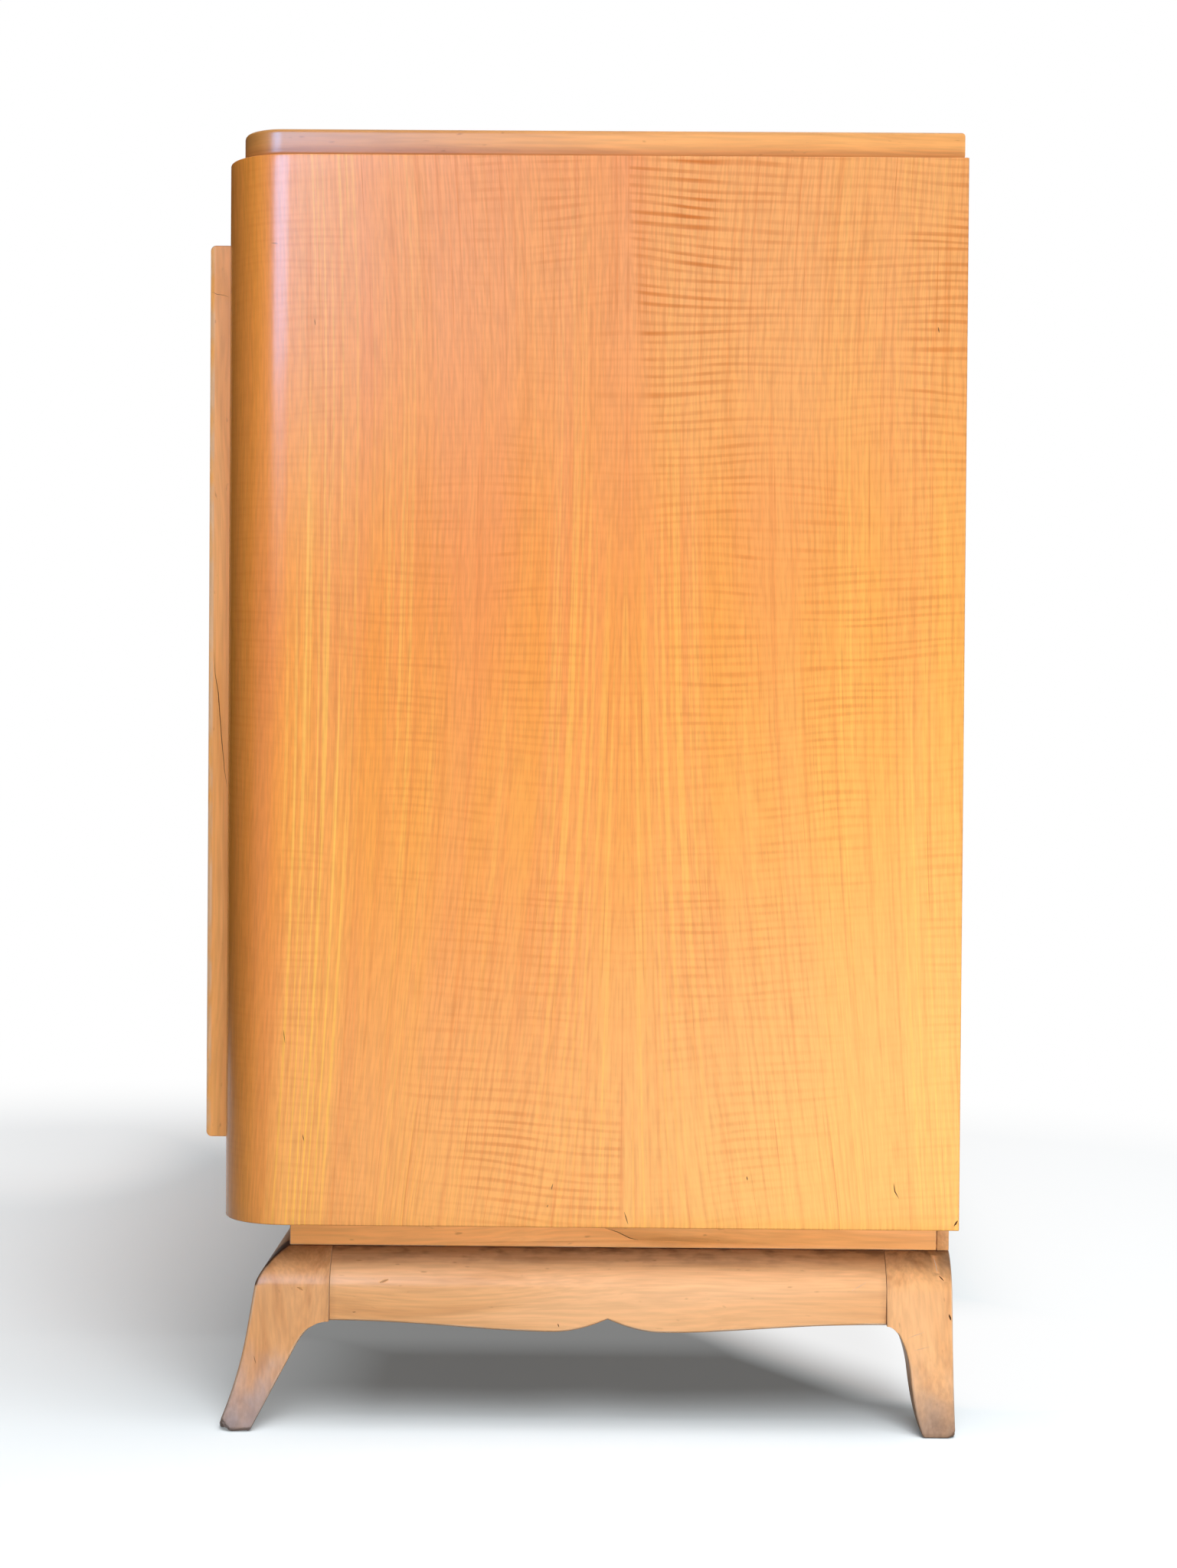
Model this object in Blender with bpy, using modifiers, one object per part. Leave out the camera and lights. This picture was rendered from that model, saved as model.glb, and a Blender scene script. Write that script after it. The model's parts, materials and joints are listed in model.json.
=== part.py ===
# A low commode with three long drawers, in pale figured sycamore.
# A veneered carcase with round front corners stands on a recessed plinth and a base of four swept legs.
# A raised, mitred frame stands proud of the front and holds the drawers.
#
# Metres, +Z up. The front faces -Y. The origin is on the floor, under the middle of the whole piece.

import math

import bmesh
import bpy
from mathutils import Matrix

# Clearances and limits of the modelling
JOINT_GAP = 0.0003              # hairline left in each glued or seated joint
CUT_OVERRUN = 0.004             # how far a cutter runs past the face that it cuts
WELD_DISTANCE = 0.00001
FLAT_ANGLE = math.radians(0.05)   # faces that meet at less are one flat face
SHARP_ANGLE = math.radians(30)    # edges that bend by more stay sharp in the shading

# Carcase
BODY_WIDTH = 1.100
BODY_DEPTH = 0.487
BODY_HEIGHT = 0.701
CORNER_RADIUS = 0.039
SIDE_THICKNESS = 0.020
BOTTOM_THICKNESS = 0.020
SUB_TOP_THICKNESS = 0.018
BACK_THICKNESS = 0.008
BACK_SETBACK = 0.002            # back panel inside the rear edges of the sides
REBATE_WIDTH = 0.010            # rebate in the sides that takes the back panel
CHEEK_THICKNESS = 0.018

# Top slab
TOP_THICKNESS = 0.0185
TOP_FRONT_INSET = 0.0102
TOP_SIDE_INSET = 0.010
TOP_REAR_INSET = 0.0015
TOP_CORNER_RADIUS = 0.028
TOP_UPPER_EDGE = 0.003
TOP_LOWER_EDGE = 0.005

# Base: legs, aprons and the plinth between the base and the carcase
BASE_HEIGHT = 0.1152            # floor to the flat top of the aprons
KNEE_INSET = 0.022              # knee behind the carcase faces
SHOULDER_WIDTH = 0.021          # from the knee in to the plinth
SHOULDER_DROP = 0.0235
REAR_INSET = 0.001              # flat back of the base behind the carcase's back
LEG_BLOCK = 0.050
REAR_LEG_DEPTH = 0.0435
TOE_SPLAY = 0.021
TOE_HEIGHT = 0.003
FOOT_LENGTH = 0.021
LEG_FILLET_WIDTH = 0.021        # curve from the back of the leg to the underside of the apron
LEG_FILLET_HEIGHT = 0.0145
REAR_ANKLE_DEPTH = 0.0285
REAR_ANKLE_HEIGHT = 0.040
APRON_HEIGHT = 0.046            # at the leg
APRON_THICKNESS = 0.043
REAR_APRON_THICKNESS = 0.022
LOBE_DROP = 0.0065              # lobes of the scallop below the apron's ends
LOBE_REACH = 0.037              # lowest point of a lobe, from the cusp
CUSP_RISE = 0.0022              # cusp above the apron's ends
PLINTH_HEIGHT = 0.0208
PLINTH_THICKNESS = 0.016
REAR_PLINTH_THICKNESS = 0.008
CORNER_BLOCK = 0.035

# Curve handles, as shares of the width and the height that each curve covers
SHOULDER_TOP_HANDLE = (0.33, 0.07)
SHOULDER_KNEE_HANDLE = (0.93, 0.62)
CALF_HANDLE = (0.23, 0.33)
ANKLE_HANDLE = (0.28, 0.58)
FILLET_LEG_HANDLE = (0.22, 0.55)
FILLET_APRON_HANDLE = (0.50, 1.00)
REAR_FOOT_HANDLE = (0.65, 0.30)
REAR_ANKLE_HANDLE = (0.85, 0.62)
REAR_CALF_HANDLE = (0.10, 0.50)
CUSP_HANDLE = (0.26, 0.45)
LOBE_INNER_HANDLE = (0.57, 1.00)
LOBE_OUTER_HANDLE = (0.32, 0.00)
APRON_END_HANDLE = (0.57, 1.00)
KNOB_CROWN_HANDLE = (0.55, 0.00)
KNOB_RIM_HANDLE = (1.00, 0.20)

# Raised frame on the front
FRAME_SIDE_INSET = 0.055
FRAME_END_INSET = 0.0495        # above and below the frame
FRAME_WIDTH = 0.030
FRAME_PROUD = 0.016
FRAME_EDGE_RADIUS = 0.004

# Drawers
DRAWER_NAMES = ("lower", "middle", "upper")
DRAWER_GAP = 0.0025             # between fronts, and above and below them
DRAWER_SIDE_GAP = 0.002
DRAWER_SETBACK = 0.003          # fronts behind the face of the frame
DRAWER_FRONT_THICKNESS = 0.020
DRAWER_SIDE_THICKNESS = 0.015
DRAWER_BACK_THICKNESS = 0.012
DRAWER_BACK_CLEARANCE = 0.024
DRAWER_BOX_CLEARANCE = 0.0055   # drawer box to the dividers
DRAWER_BOTTOM_THICKNESS = 0.006
DRAWER_BOTTOM_RISE = 0.013
BOTTOM_GROOVE_DEPTH = 0.005
TAIL_COUNT = 3
PIN_WIDTH = 0.008
TAIL_SLOPE = 1 / 6
FRONT_TAIL_LENGTH = 0.014
DIVIDER_THICKNESS = 0.018
DIVIDER_DEPTH = 0.070
RUNNER_HEIGHT = 0.014
RUNNER_PROJECTION = 0.009
RUNNER_SETBACK = 0.045          # behind the face of the drawer front
RUNNER_TIP_CLEARANCE = 0.0015
RUNNER_LOWER_CLEARANCE = 0.001
GROOVE_STOP = 0.012             # runner groove starts this far behind the drawer front

# Turned knobs
KNOB_SPACING = 0.480
KNOB_PROJECTION = 0.028
KNOB_HEAD_DIAMETER = 0.034
KNOB_NECK_DIAMETER = 0.014
KNOB_FOOT_DIAMETER = 0.021
KNOB_FOOT_HEIGHT = 0.003
KNOB_HEAD_HEIGHT = 0.015        # crown to the start of the neck
KNOB_CROWN_HEIGHT = 0.008       # crown to the widest ring
KNOB_NECK_HEIGHT = 0.0088       # foot of the knob to the narrowest ring
KNOB_TENON_DIAMETER = 0.010
KNOB_TENON_LENGTH = 0.018
KNOB_STEPS = 20                 # round the turning axis
KNOB_CURVE_STEPS = 4

# Smoothness of the curves
CORNER_STEPS = 12
CURVE_STEPS = 8
EDGE_STEPS = 3

# Places worked out from the sizes above
FRONT_REACH = FRAME_PROUD - DRAWER_SETBACK + KNOB_PROJECTION
BACK_Y = (BODY_DEPTH + FRONT_REACH) / 2
FRONT_Y = BACK_Y - BODY_DEPTH
SIDE_X = BODY_WIDTH / 2
KNEE_X = SIDE_X - KNEE_INSET
KNEE_Y = FRONT_Y + KNEE_INSET
KNEE_Z = BASE_HEIGHT - SHOULDER_DROP
BASE_BACK_Y = BACK_Y - REAR_INSET
APRON_Z = BASE_HEIGHT - APRON_HEIGHT
PLINTH_X = KNEE_X - SHOULDER_WIDTH
PLINTH_Y = KNEE_Y + SHOULDER_WIDTH
PLINTH_Z = BASE_HEIGHT + JOINT_GAP
BODY_Z = PLINTH_Z + PLINTH_HEIGHT + JOINT_GAP
BODY_TOP_Z = BODY_Z + BODY_HEIGHT
INNER_FRONT_Y = FRONT_Y + SIDE_THICKNESS + JOINT_GAP
BACK_PANEL_Y = BACK_Y - BACK_SETBACK - BACK_THICKNESS
INNER_BACK_Y = BACK_PANEL_Y - JOINT_GAP
FRAME_X = SIDE_X - FRAME_SIDE_INSET - JOINT_GAP
FRAME_Z = BODY_Z + FRAME_END_INSET + JOINT_GAP
FRAME_TOP_Z = BODY_TOP_Z - FRAME_END_INSET - JOINT_GAP
FRAME_DEPTH = FRAME_PROUD + SIDE_THICKNESS
OPENING_X = FRAME_X - FRAME_WIDTH
OPENING_Z = FRAME_Z + FRAME_WIDTH
OPENING_HEIGHT = FRAME_TOP_Z - FRAME_WIDTH - OPENING_Z
DRAWER_COUNT = len(DRAWER_NAMES)
DRAWER_X = OPENING_X - DRAWER_SIDE_GAP
DRAWER_FACE_Y = FRONT_Y - FRAME_PROUD + DRAWER_SETBACK
DRAWER_FRONT_HEIGHT = (OPENING_HEIGHT - (DRAWER_COUNT + 1) * DRAWER_GAP) / DRAWER_COUNT
DRAWER_PITCH = DRAWER_FRONT_HEIGHT + DRAWER_GAP
DRAWER_BOX_HEIGHT = DRAWER_PITCH - DIVIDER_THICKNESS - 2 * DRAWER_BOX_CLEARANCE
DRAWER_BOX_END = INNER_BACK_Y - DRAWER_BACK_CLEARANCE - DRAWER_FACE_Y

# Directions that an outline's own axes take: across, up and through
PLANES = {
    "plan": Matrix(((1, 0, 0), (0, 1, 0), (0, 0, 1))),
    "side": Matrix(((0, 0, 1), (1, 0, 0), (0, 1, 0))),
    "front": Matrix(((1, 0, 0), (0, 0, -1), (0, 1, 0))),
}


def clear_scene():
    for thing in list(bpy.data.objects):
        bpy.data.objects.remove(thing, do_unlink=True)


def new_collection(name):
    collection = bpy.data.collections.new(name)
    bpy.context.scene.collection.children.link(collection)
    return collection


def new_material(name, colour, roughness):
    material = bpy.data.materials.new(name)
    material.use_nodes = True
    shader = material.node_tree.nodes["Principled BSDF"]
    shader.inputs["Base Color"].default_value = (*colour, 1.0)
    shader.inputs["Roughness"].default_value = roughness
    shader.inputs["Metallic"].default_value = 0.0
    return material


clear_scene()
parts = new_collection("commode")
cutters = new_collection("commode_cutters")

sycamore_veneer = new_material("sycamore_veneer", (0.56, 0.28, 0.10), 0.32)
solid_sycamore = new_material("solid_sycamore", (0.64, 0.37, 0.17), 0.40)
plain_beech = new_material("plain_beech", (0.52, 0.33, 0.18), 0.55)
birch_ply = new_material("birch_ply", (0.60, 0.43, 0.26), 0.60)


def add_piece(name, mesh, material, location=(0, 0, 0), parent=None):
    piece = bpy.data.objects.new(name, mesh)
    piece.location = location
    piece.parent = parent
    mesh.materials.clear()
    mesh.materials.append(material)
    parts.objects.link(piece)
    return piece


def add_cutter(name, mesh, location=(0, 0, 0), parent=None):
    cutter = bpy.data.objects.new(name, mesh)
    cutter.location = location
    cutter.parent = parent
    cutter.hide_render = True
    cutter.display_type = 'WIRE'
    cutters.objects.link(cutter)
    return cutter


def carve(piece, cutter, operation='DIFFERENCE'):
    modifier = piece.modifiers.new(cutter.name, 'BOOLEAN')
    modifier.operation = operation
    modifier.solver = 'EXACT'
    modifier.object = cutter


def saw(piece, cutter):
    # Keeps what lies inside both shapes, with crisp shading at the arrises where they cross
    carve(piece, cutter, 'INTERSECT')
    graph = bpy.context.evaluated_depsgraph_get()
    mesh = bpy.data.meshes.new_from_object(piece.evaluated_get(graph))
    mesh.shade_smooth()
    mesh.set_sharp_from_angle(angle=SHARP_ANGLE)
    piece.modifiers.clear()
    piece.data = mesh


def box_mesh(name, size):
    mesh = bpy.data.meshes.new(name)
    shape = bmesh.new()
    bmesh.ops.create_cube(shape, size=1.0, matrix=Matrix.Diagonal((*size, 1.0)))
    shape.to_mesh(mesh)
    shape.free()
    return mesh


def board(name, low, high, material, parent=None):
    size = [b - a for a, b in zip(low, high)]
    middle = [(a + b) / 2 for a, b in zip(low, high)]
    return add_piece(name, box_mesh(name, size), material, middle, parent)


def box_cutter(name, low, high, parent=None):
    size = [b - a for a, b in zip(low, high)]
    middle = [(a + b) / 2 for a, b in zip(low, high)]
    return add_cutter(name, box_mesh(name, size), middle, parent)


def outline_mesh(name, outlines, thickness, plane):
    curve = bpy.data.curves.new(name, 'CURVE')
    curve.dimensions = '2D'
    curve.fill_mode = 'BOTH'
    curve.extrude = thickness / 2
    for outline in outlines:
        spline = curve.splines.new('POLY')
        spline.points.add(len(outline) - 1)
        for point, (across, up) in zip(spline.points, outline):
            point.co = (across, up, 0, 1)
        spline.use_cyclic_u = True
    holder = bpy.data.objects.new(name, curve)
    bpy.context.scene.collection.objects.link(holder)
    graph = bpy.context.evaluated_depsgraph_get()
    mesh = bpy.data.meshes.new_from_object(holder.evaluated_get(graph))
    bpy.data.objects.remove(holder)
    bpy.data.curves.remove(curve)
    shape = bmesh.new()
    shape.from_mesh(mesh)
    bmesh.ops.remove_doubles(shape, verts=shape.verts, dist=WELD_DISTANCE)
    bmesh.ops.dissolve_limit(shape, angle_limit=FLAT_ANGLE, verts=shape.verts, edges=shape.edges)
    bmesh.ops.transform(shape, matrix=PLANES[plane].to_4x4(), verts=shape.verts)
    bmesh.ops.recalc_face_normals(shape, faces=shape.faces)
    shape.to_mesh(mesh)
    shape.free()
    mesh.name = name
    mesh.shade_smooth()
    mesh.set_sharp_from_angle(angle=SHARP_ANGLE)
    return mesh


def weigh_edges(mesh, weight_of):
    shape = bmesh.new()
    shape.from_mesh(mesh)
    layer = shape.edges.layers.float.new("bevel_weight_edge")
    for edge in shape.edges:
        edge[layer] = weight_of(*[vert.co for vert in edge.verts])
    shape.to_mesh(mesh)
    shape.free()


def round_weighted_edges(piece, radius):
    modifier = piece.modifiers.new("rounded_edges", 'BEVEL')
    modifier.limit_method = 'WEIGHT'
    modifier.width = radius
    modifier.segments = EDGE_STEPS


def bezier(start, start_handle, end_handle, end, steps):
    # Points of a cubic curve after its first one
    points = []
    for step in range(1, steps + 1):
        t = step / steps
        weights = ((1 - t) ** 3, 3 * (1 - t) ** 2 * t, 3 * (1 - t) * t ** 2, t ** 3)
        corners = (start, start_handle, end_handle, end)
        points.append(tuple(sum(w * c[axis] for w, c in zip(weights, corners)) for axis in (0, 1)))
    return points


def between(start, end, share):
    return tuple(a + (b - a) * part for a, b, part in zip(start, end, share))


def curve_between(start, end, start_share, end_share, steps=CURVE_STEPS):
    return bezier(start, between(start, end, start_share), between(start, end, end_share), end, steps)


def rounded_front_plan(half_width, front_y, back_y, radius):
    # Plan outline with two round front corners, from the back left corner round to the back right
    left, right = [], []
    for step in range(CORNER_STEPS + 1):
        angle = math.pi / 2 * step / CORNER_STEPS
        inward = radius * (1 - math.cos(angle))
        along = radius * (1 - math.sin(angle))
        left.append((-half_width + inward, front_y + along))
        right.append((half_width - inward, front_y + along))
    return [(-half_width, back_y)] + left + right[::-1] + [(half_width, back_y)]


# Base

def shoulder_points():
    # Round shoulder from the plinth out and down to the knee, as (inset from the knee face, height)
    top = (SHOULDER_WIDTH, BASE_HEIGHT)
    knee = (0, KNEE_Z)
    return [top] + curve_between(top, knee, SHOULDER_TOP_HANDLE, SHOULDER_KNEE_HANDLE)


def swept_leg_outline(overrun=0):
    # One face of a leg, as (inset from the knee face, height); the same shape is sawn on the next face
    knee, toe = (0, KNEE_Z), (-TOE_SPLAY, TOE_HEIGHT)
    heel = FOOT_LENGTH - TOE_SPLAY
    calf = (LEG_BLOCK - LEG_FILLET_WIDTH, APRON_Z - LEG_FILLET_HEIGHT)
    crotch = (LEG_BLOCK, APRON_Z)
    points = shoulder_points()
    points += curve_between(knee, toe, CALF_HANDLE, ANKLE_HANDLE)
    points += [(-TOE_SPLAY, -overrun), (heel, -overrun), calf]
    points += curve_between(calf, crotch, FILLET_LEG_HANDLE, FILLET_APRON_HANDLE)
    points += [(LEG_BLOCK, BASE_HEIGHT + overrun)]
    if overrun:
        points += [(SHOULDER_WIDTH, BASE_HEIGHT + overrun)]
    return points


def straight_backed_leg_outline():
    # Side face of a rear leg, as (distance in front of the base's back, height)
    foot = (FOOT_LENGTH, 0)
    ankle = (REAR_ANKLE_DEPTH, REAR_ANKLE_HEIGHT)
    crotch = (REAR_LEG_DEPTH, APRON_Z)
    points = [(0, BASE_HEIGHT), (0, 0), foot]
    points += curve_between(foot, ankle, REAR_FOOT_HANDLE, REAR_ANKLE_HANDLE)
    points += curve_between(ankle, crotch, REAR_CALF_HANDLE, FILLET_APRON_HANDLE)
    return points + [(REAR_LEG_DEPTH, BASE_HEIGHT)]


def add_leg(name, side, side_view, middle_y, depth):
    # A leg is sawn from two faces: the side view and the front view of the same block
    block = LEG_BLOCK + TOE_SPLAY + 2 * CUT_OVERRUN
    middle_x = side * (KNEE_X + (TOE_SPLAY - LEG_BLOCK) / 2)
    leg = add_piece(name, outline_mesh(name, [side_view], block, "side"), solid_sycamore, (middle_x, 0, 0))
    front_view = [(side * (KNEE_X - inset), height) for inset, height in swept_leg_outline(CUT_OVERRUN)]
    cutter_mesh = outline_mesh(name + "_front_view", [front_view], depth + 2 * CUT_OVERRUN, "front")
    saw(leg, add_cutter(name + "_front_view", cutter_mesh, (0, middle_y, 0)))


def add_legs():
    front_side_view = [(KNEE_Y + inset, height) for inset, height in swept_leg_outline()]
    rear_side_view = [(BASE_BACK_Y - inset, height) for inset, height in straight_backed_leg_outline()]
    front_middle = KNEE_Y + (LEG_BLOCK - TOE_SPLAY) / 2
    rear_middle = BASE_BACK_Y - REAR_LEG_DEPTH / 2
    for hand, side in (("right", 1), ("left", -1)):
        add_leg("leg_front_" + hand, side, front_side_view, front_middle, LEG_BLOCK + TOE_SPLAY)
        add_leg("leg_rear_" + hand, side, rear_side_view, rear_middle, REAR_LEG_DEPTH)


def scalloped_outline(start, end):
    # Elevation of an apron: two lobes that meet in a cusp at the middle of its lower edge
    middle = (start + end) / 2
    run = (end - start) / 2
    cusp = (0, APRON_Z + CUSP_RISE)
    lobe = (LOBE_REACH, APRON_Z - LOBE_DROP)
    tip = (run, APRON_Z)
    half = [cusp] + curve_between(cusp, lobe, CUSP_HANDLE, LOBE_INNER_HANDLE)
    half += curve_between(lobe, tip, LOBE_OUTER_HANDLE, APRON_END_HANDLE)
    lower_edge = [(middle - along, height) for along, height in half[:0:-1]]
    lower_edge += [(middle + along, height) for along, height in half]
    return lower_edge + [(end, BASE_HEIGHT), (start, BASE_HEIGHT)]


def apron_section():
    # Section of an apron, as (inset from the knee face, height)
    below = APRON_Z - LOBE_DROP - CUT_OVERRUN
    above = BASE_HEIGHT + CUT_OVERRUN
    points = [(SHOULDER_WIDTH, above)] + shoulder_points()
    return points + [(0, below), (APRON_THICKNESS, below), (APRON_THICKNESS, above)]


def add_aprons():
    leg_x = KNEE_X - LEG_BLOCK - JOINT_GAP
    front_leg_y = KNEE_Y + LEG_BLOCK + JOINT_GAP
    rear_leg_y = BASE_BACK_Y - REAR_LEG_DEPTH - JOINT_GAP
    width = APRON_THICKNESS + 2 * CUT_OVERRUN
    middle_y = KNEE_Y + APRON_THICKNESS / 2
    mesh = outline_mesh("apron_front", [scalloped_outline(-leg_x, leg_x)], width, "front")
    apron = add_piece("apron_front", mesh, solid_sycamore, (0, middle_y, 0))
    section = [(KNEE_Y + inset, height) for inset, height in apron_section()]
    cutter_mesh = outline_mesh("apron_front_section", [section], 2 * (leg_x + CUT_OVERRUN), "side")
    saw(apron, add_cutter("apron_front_section", cutter_mesh))

    length = rear_leg_y - front_leg_y
    for hand, side in (("right", 1), ("left", -1)):
        name = "apron_" + hand
        mesh = outline_mesh(name, [scalloped_outline(front_leg_y, rear_leg_y)], width, "side")
        apron = add_piece(name, mesh, solid_sycamore, (side * (KNEE_X - APRON_THICKNESS / 2), 0, 0))
        section = [(side * (KNEE_X - inset), height) for inset, height in apron_section()]
        cutter_mesh = outline_mesh(name + "_section", [section], length + 2 * CUT_OVERRUN, "front")
        cutter = add_cutter(name + "_section", cutter_mesh, (0, (front_leg_y + rear_leg_y) / 2, 0))
        saw(apron, cutter)

    board("apron_rear", (-leg_x, BASE_BACK_Y - REAR_APRON_THICKNESS, APRON_Z),
          (leg_x, BASE_BACK_Y, BASE_HEIGHT), plain_beech)


def add_plinth():
    top = PLINTH_Z + PLINTH_HEIGHT
    rear_strip_y = BASE_BACK_Y - REAR_PLINTH_THICKNESS
    inner_x = PLINTH_X - PLINTH_THICKNESS
    front_x = inner_x - JOINT_GAP
    board("plinth_front", (-front_x, PLINTH_Y, PLINTH_Z), (front_x, PLINTH_Y + PLINTH_THICKNESS, top),
          solid_sycamore)
    board("plinth_rear", (-PLINTH_X, rear_strip_y, PLINTH_Z), (PLINTH_X, BASE_BACK_Y, top), plain_beech)
    block_x = inner_x - JOINT_GAP
    front_block_y = PLINTH_Y + PLINTH_THICKNESS + JOINT_GAP
    rear_block_y = rear_strip_y - JOINT_GAP
    for hand, side in (("right", 1), ("left", -1)):
        strip_x = sorted((side * inner_x, side * PLINTH_X))
        board("plinth_" + hand, (strip_x[0], PLINTH_Y, PLINTH_Z),
              (strip_x[1], rear_strip_y - JOINT_GAP, top), solid_sycamore)
        block_xs = sorted((side * (block_x - CORNER_BLOCK), side * block_x))
        board("corner_block_front_" + hand, (block_xs[0], front_block_y, PLINTH_Z),
              (block_xs[1], front_block_y + CORNER_BLOCK, top), plain_beech)
        board("corner_block_rear_" + hand, (block_xs[0], rear_block_y - CORNER_BLOCK, PLINTH_Z),
              (block_xs[1], rear_block_y, top), plain_beech)


# Carcase

def side_outline(side):
    # Plan of a bent side: straight run, round front corner, short return, and a rebate at the back
    inner_radius = CORNER_RADIUS - SIDE_THICKNESS
    centre = (SIDE_X - CORNER_RADIUS, FRONT_Y + CORNER_RADIUS)
    rebate_x = SIDE_X - SIDE_THICKNESS + REBATE_WIDTH
    rebate_y = BACK_PANEL_Y - JOINT_GAP
    return_x = SIDE_X - FRAME_SIDE_INSET
    outer, inner = [], []
    for step in range(CORNER_STEPS + 1):
        angle = math.pi / 2 * step / CORNER_STEPS
        across, forward = math.cos(angle), math.sin(angle)
        outer.append((centre[0] + CORNER_RADIUS * across, centre[1] - CORNER_RADIUS * forward))
        inner.append((centre[0] + inner_radius * across, centre[1] - inner_radius * forward))
    points = [(SIDE_X, BACK_Y)] + outer
    points += [(return_x, FRONT_Y), (return_x, FRONT_Y + SIDE_THICKNESS)] + inner[::-1]
    points += [(SIDE_X - SIDE_THICKNESS, rebate_y), (rebate_x, rebate_y), (rebate_x, BACK_Y)]
    return [(side * x, y) for x, y in points]


def add_carcase():
    middle_z = (BODY_Z + BODY_TOP_Z) / 2
    for hand, side in (("right", 1), ("left", -1)):
        mesh = outline_mesh("side_" + hand, [side_outline(side)], BODY_HEIGHT, "plan")
        add_piece("side_" + hand, mesh, sycamore_veneer, (0, 0, middle_z))

    inner_x = SIDE_X - SIDE_THICKNESS - JOINT_GAP
    plan = rounded_front_plan(inner_x, INNER_FRONT_Y, INNER_BACK_Y, CORNER_RADIUS - SIDE_THICKNESS)
    for name, thickness, low in (("bottom_panel", BOTTOM_THICKNESS, BODY_Z),
                                 ("sub_top", SUB_TOP_THICKNESS, BODY_TOP_Z - SUB_TOP_THICKNESS)):
        mesh = outline_mesh(name, [plan], thickness, "plan")
        add_piece(name, mesh, plain_beech, (0, 0, low + thickness / 2))

    back_x = SIDE_X - SIDE_THICKNESS + REBATE_WIDTH - JOINT_GAP
    board("back_panel", (-back_x, BACK_PANEL_Y, BODY_Z),
          (back_x, BACK_PANEL_Y + BACK_THICKNESS, BODY_TOP_Z), birch_ply)

    rail_back_y = FRONT_Y + SIDE_THICKNESS
    board("front_rail_top", (-FRAME_X, FRONT_Y, BODY_TOP_Z - FRAME_END_INSET),
          (FRAME_X, rail_back_y, BODY_TOP_Z), sycamore_veneer)
    board("front_rail_bottom", (-FRAME_X, FRONT_Y, BODY_Z),
          (FRAME_X, rail_back_y, BODY_Z + FRAME_END_INSET), sycamore_veneer)

    cheek_z = BODY_Z + BOTTOM_THICKNESS + JOINT_GAP
    cheek_top_z = BODY_TOP_Z - SUB_TOP_THICKNESS - JOINT_GAP
    for hand, side in (("right", 1), ("left", -1)):
        cheek_x = sorted((side * OPENING_X, side * (OPENING_X + CHEEK_THICKNESS)))
        board("cheek_" + hand, (cheek_x[0], INNER_FRONT_Y, cheek_z),
              (cheek_x[1], INNER_BACK_Y, cheek_top_z), plain_beech)


def add_top():
    low = BODY_TOP_Z + JOINT_GAP
    plan = rounded_front_plan(SIDE_X - TOP_SIDE_INSET, FRONT_Y + TOP_FRONT_INSET,
                              BACK_Y - TOP_REAR_INSET, TOP_CORNER_RADIUS)
    mesh = outline_mesh("top_slab", [plan], TOP_THICKNESS, "plan")

    largest = max(TOP_UPPER_EDGE, TOP_LOWER_EDGE)

    def weight(start, end):
        upright = abs(start.z - end.z) > WELD_DISTANCE
        radius = TOP_UPPER_EDGE if start.z > 0 else TOP_LOWER_EDGE
        return 0 if upright else radius / largest

    weigh_edges(mesh, weight)
    slab = add_piece("top_slab", mesh, sycamore_veneer, (0, 0, low + TOP_THICKNESS / 2))
    round_weighted_edges(slab, largest)


# Raised frame

def add_frame_piece(name, outline):
    # A mitred length; only its long front edges are rounded
    mesh = outline_mesh(name, [outline], FRAME_DEPTH, "front")
    front = -FRAME_DEPTH / 2

    def weight(start, end):
        at_front = max(start.y, end.y) < front + WELD_DISTANCE
        mitre = abs(abs(start.x - end.x) - abs(start.z - end.z)) < WELD_DISTANCE
        return 1 if at_front and not mitre else 0

    weigh_edges(mesh, weight)
    middle_y = FRONT_Y + SIDE_THICKNESS - FRAME_DEPTH / 2
    round_weighted_edges(add_piece(name, mesh, solid_sycamore, (0, middle_y, 0)), FRAME_EDGE_RADIUS)


def add_frame():
    # The stiles give up the hairline of each mitre, measured along their length
    low, high = FRAME_Z + JOINT_GAP, FRAME_TOP_Z - JOINT_GAP
    for hand, side in (("right", 1), ("left", -1)):
        outer_x, inner_x = side * FRAME_X, side * OPENING_X
        inner_low, inner_high = low + FRAME_WIDTH, high - FRAME_WIDTH
        add_frame_piece("frame_stile_" + hand,
                        [(outer_x, low), (outer_x, high), (inner_x, inner_high), (inner_x, inner_low)])
    for name, outer_z, inner_z in (("frame_rail_top", FRAME_TOP_Z, FRAME_TOP_Z - FRAME_WIDTH),
                                   ("frame_rail_bottom", FRAME_Z, FRAME_Z + FRAME_WIDTH)):
        add_frame_piece(name, [(-FRAME_X, outer_z), (FRAME_X, outer_z),
                               (OPENING_X, inner_z), (-OPENING_X, inner_z)])


# Drawers and what carries them

def drawer_middle_z(level):
    return OPENING_Z + DRAWER_GAP + DRAWER_FRONT_HEIGHT / 2 + level * DRAWER_PITCH


def add_dividers():
    front_y = DRAWER_FACE_Y + DRAWER_FRONT_THICKNESS + JOINT_GAP
    half_x = OPENING_X - JOINT_GAP
    for level, name in enumerate(("divider_lower", "divider_upper")):
        middle_z = drawer_middle_z(level) + DRAWER_PITCH / 2
        board(name, (-half_x, front_y, middle_z - DIVIDER_THICKNESS / 2),
              (half_x, front_y + DIVIDER_DEPTH, middle_z + DIVIDER_THICKNESS / 2), plain_beech)


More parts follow.
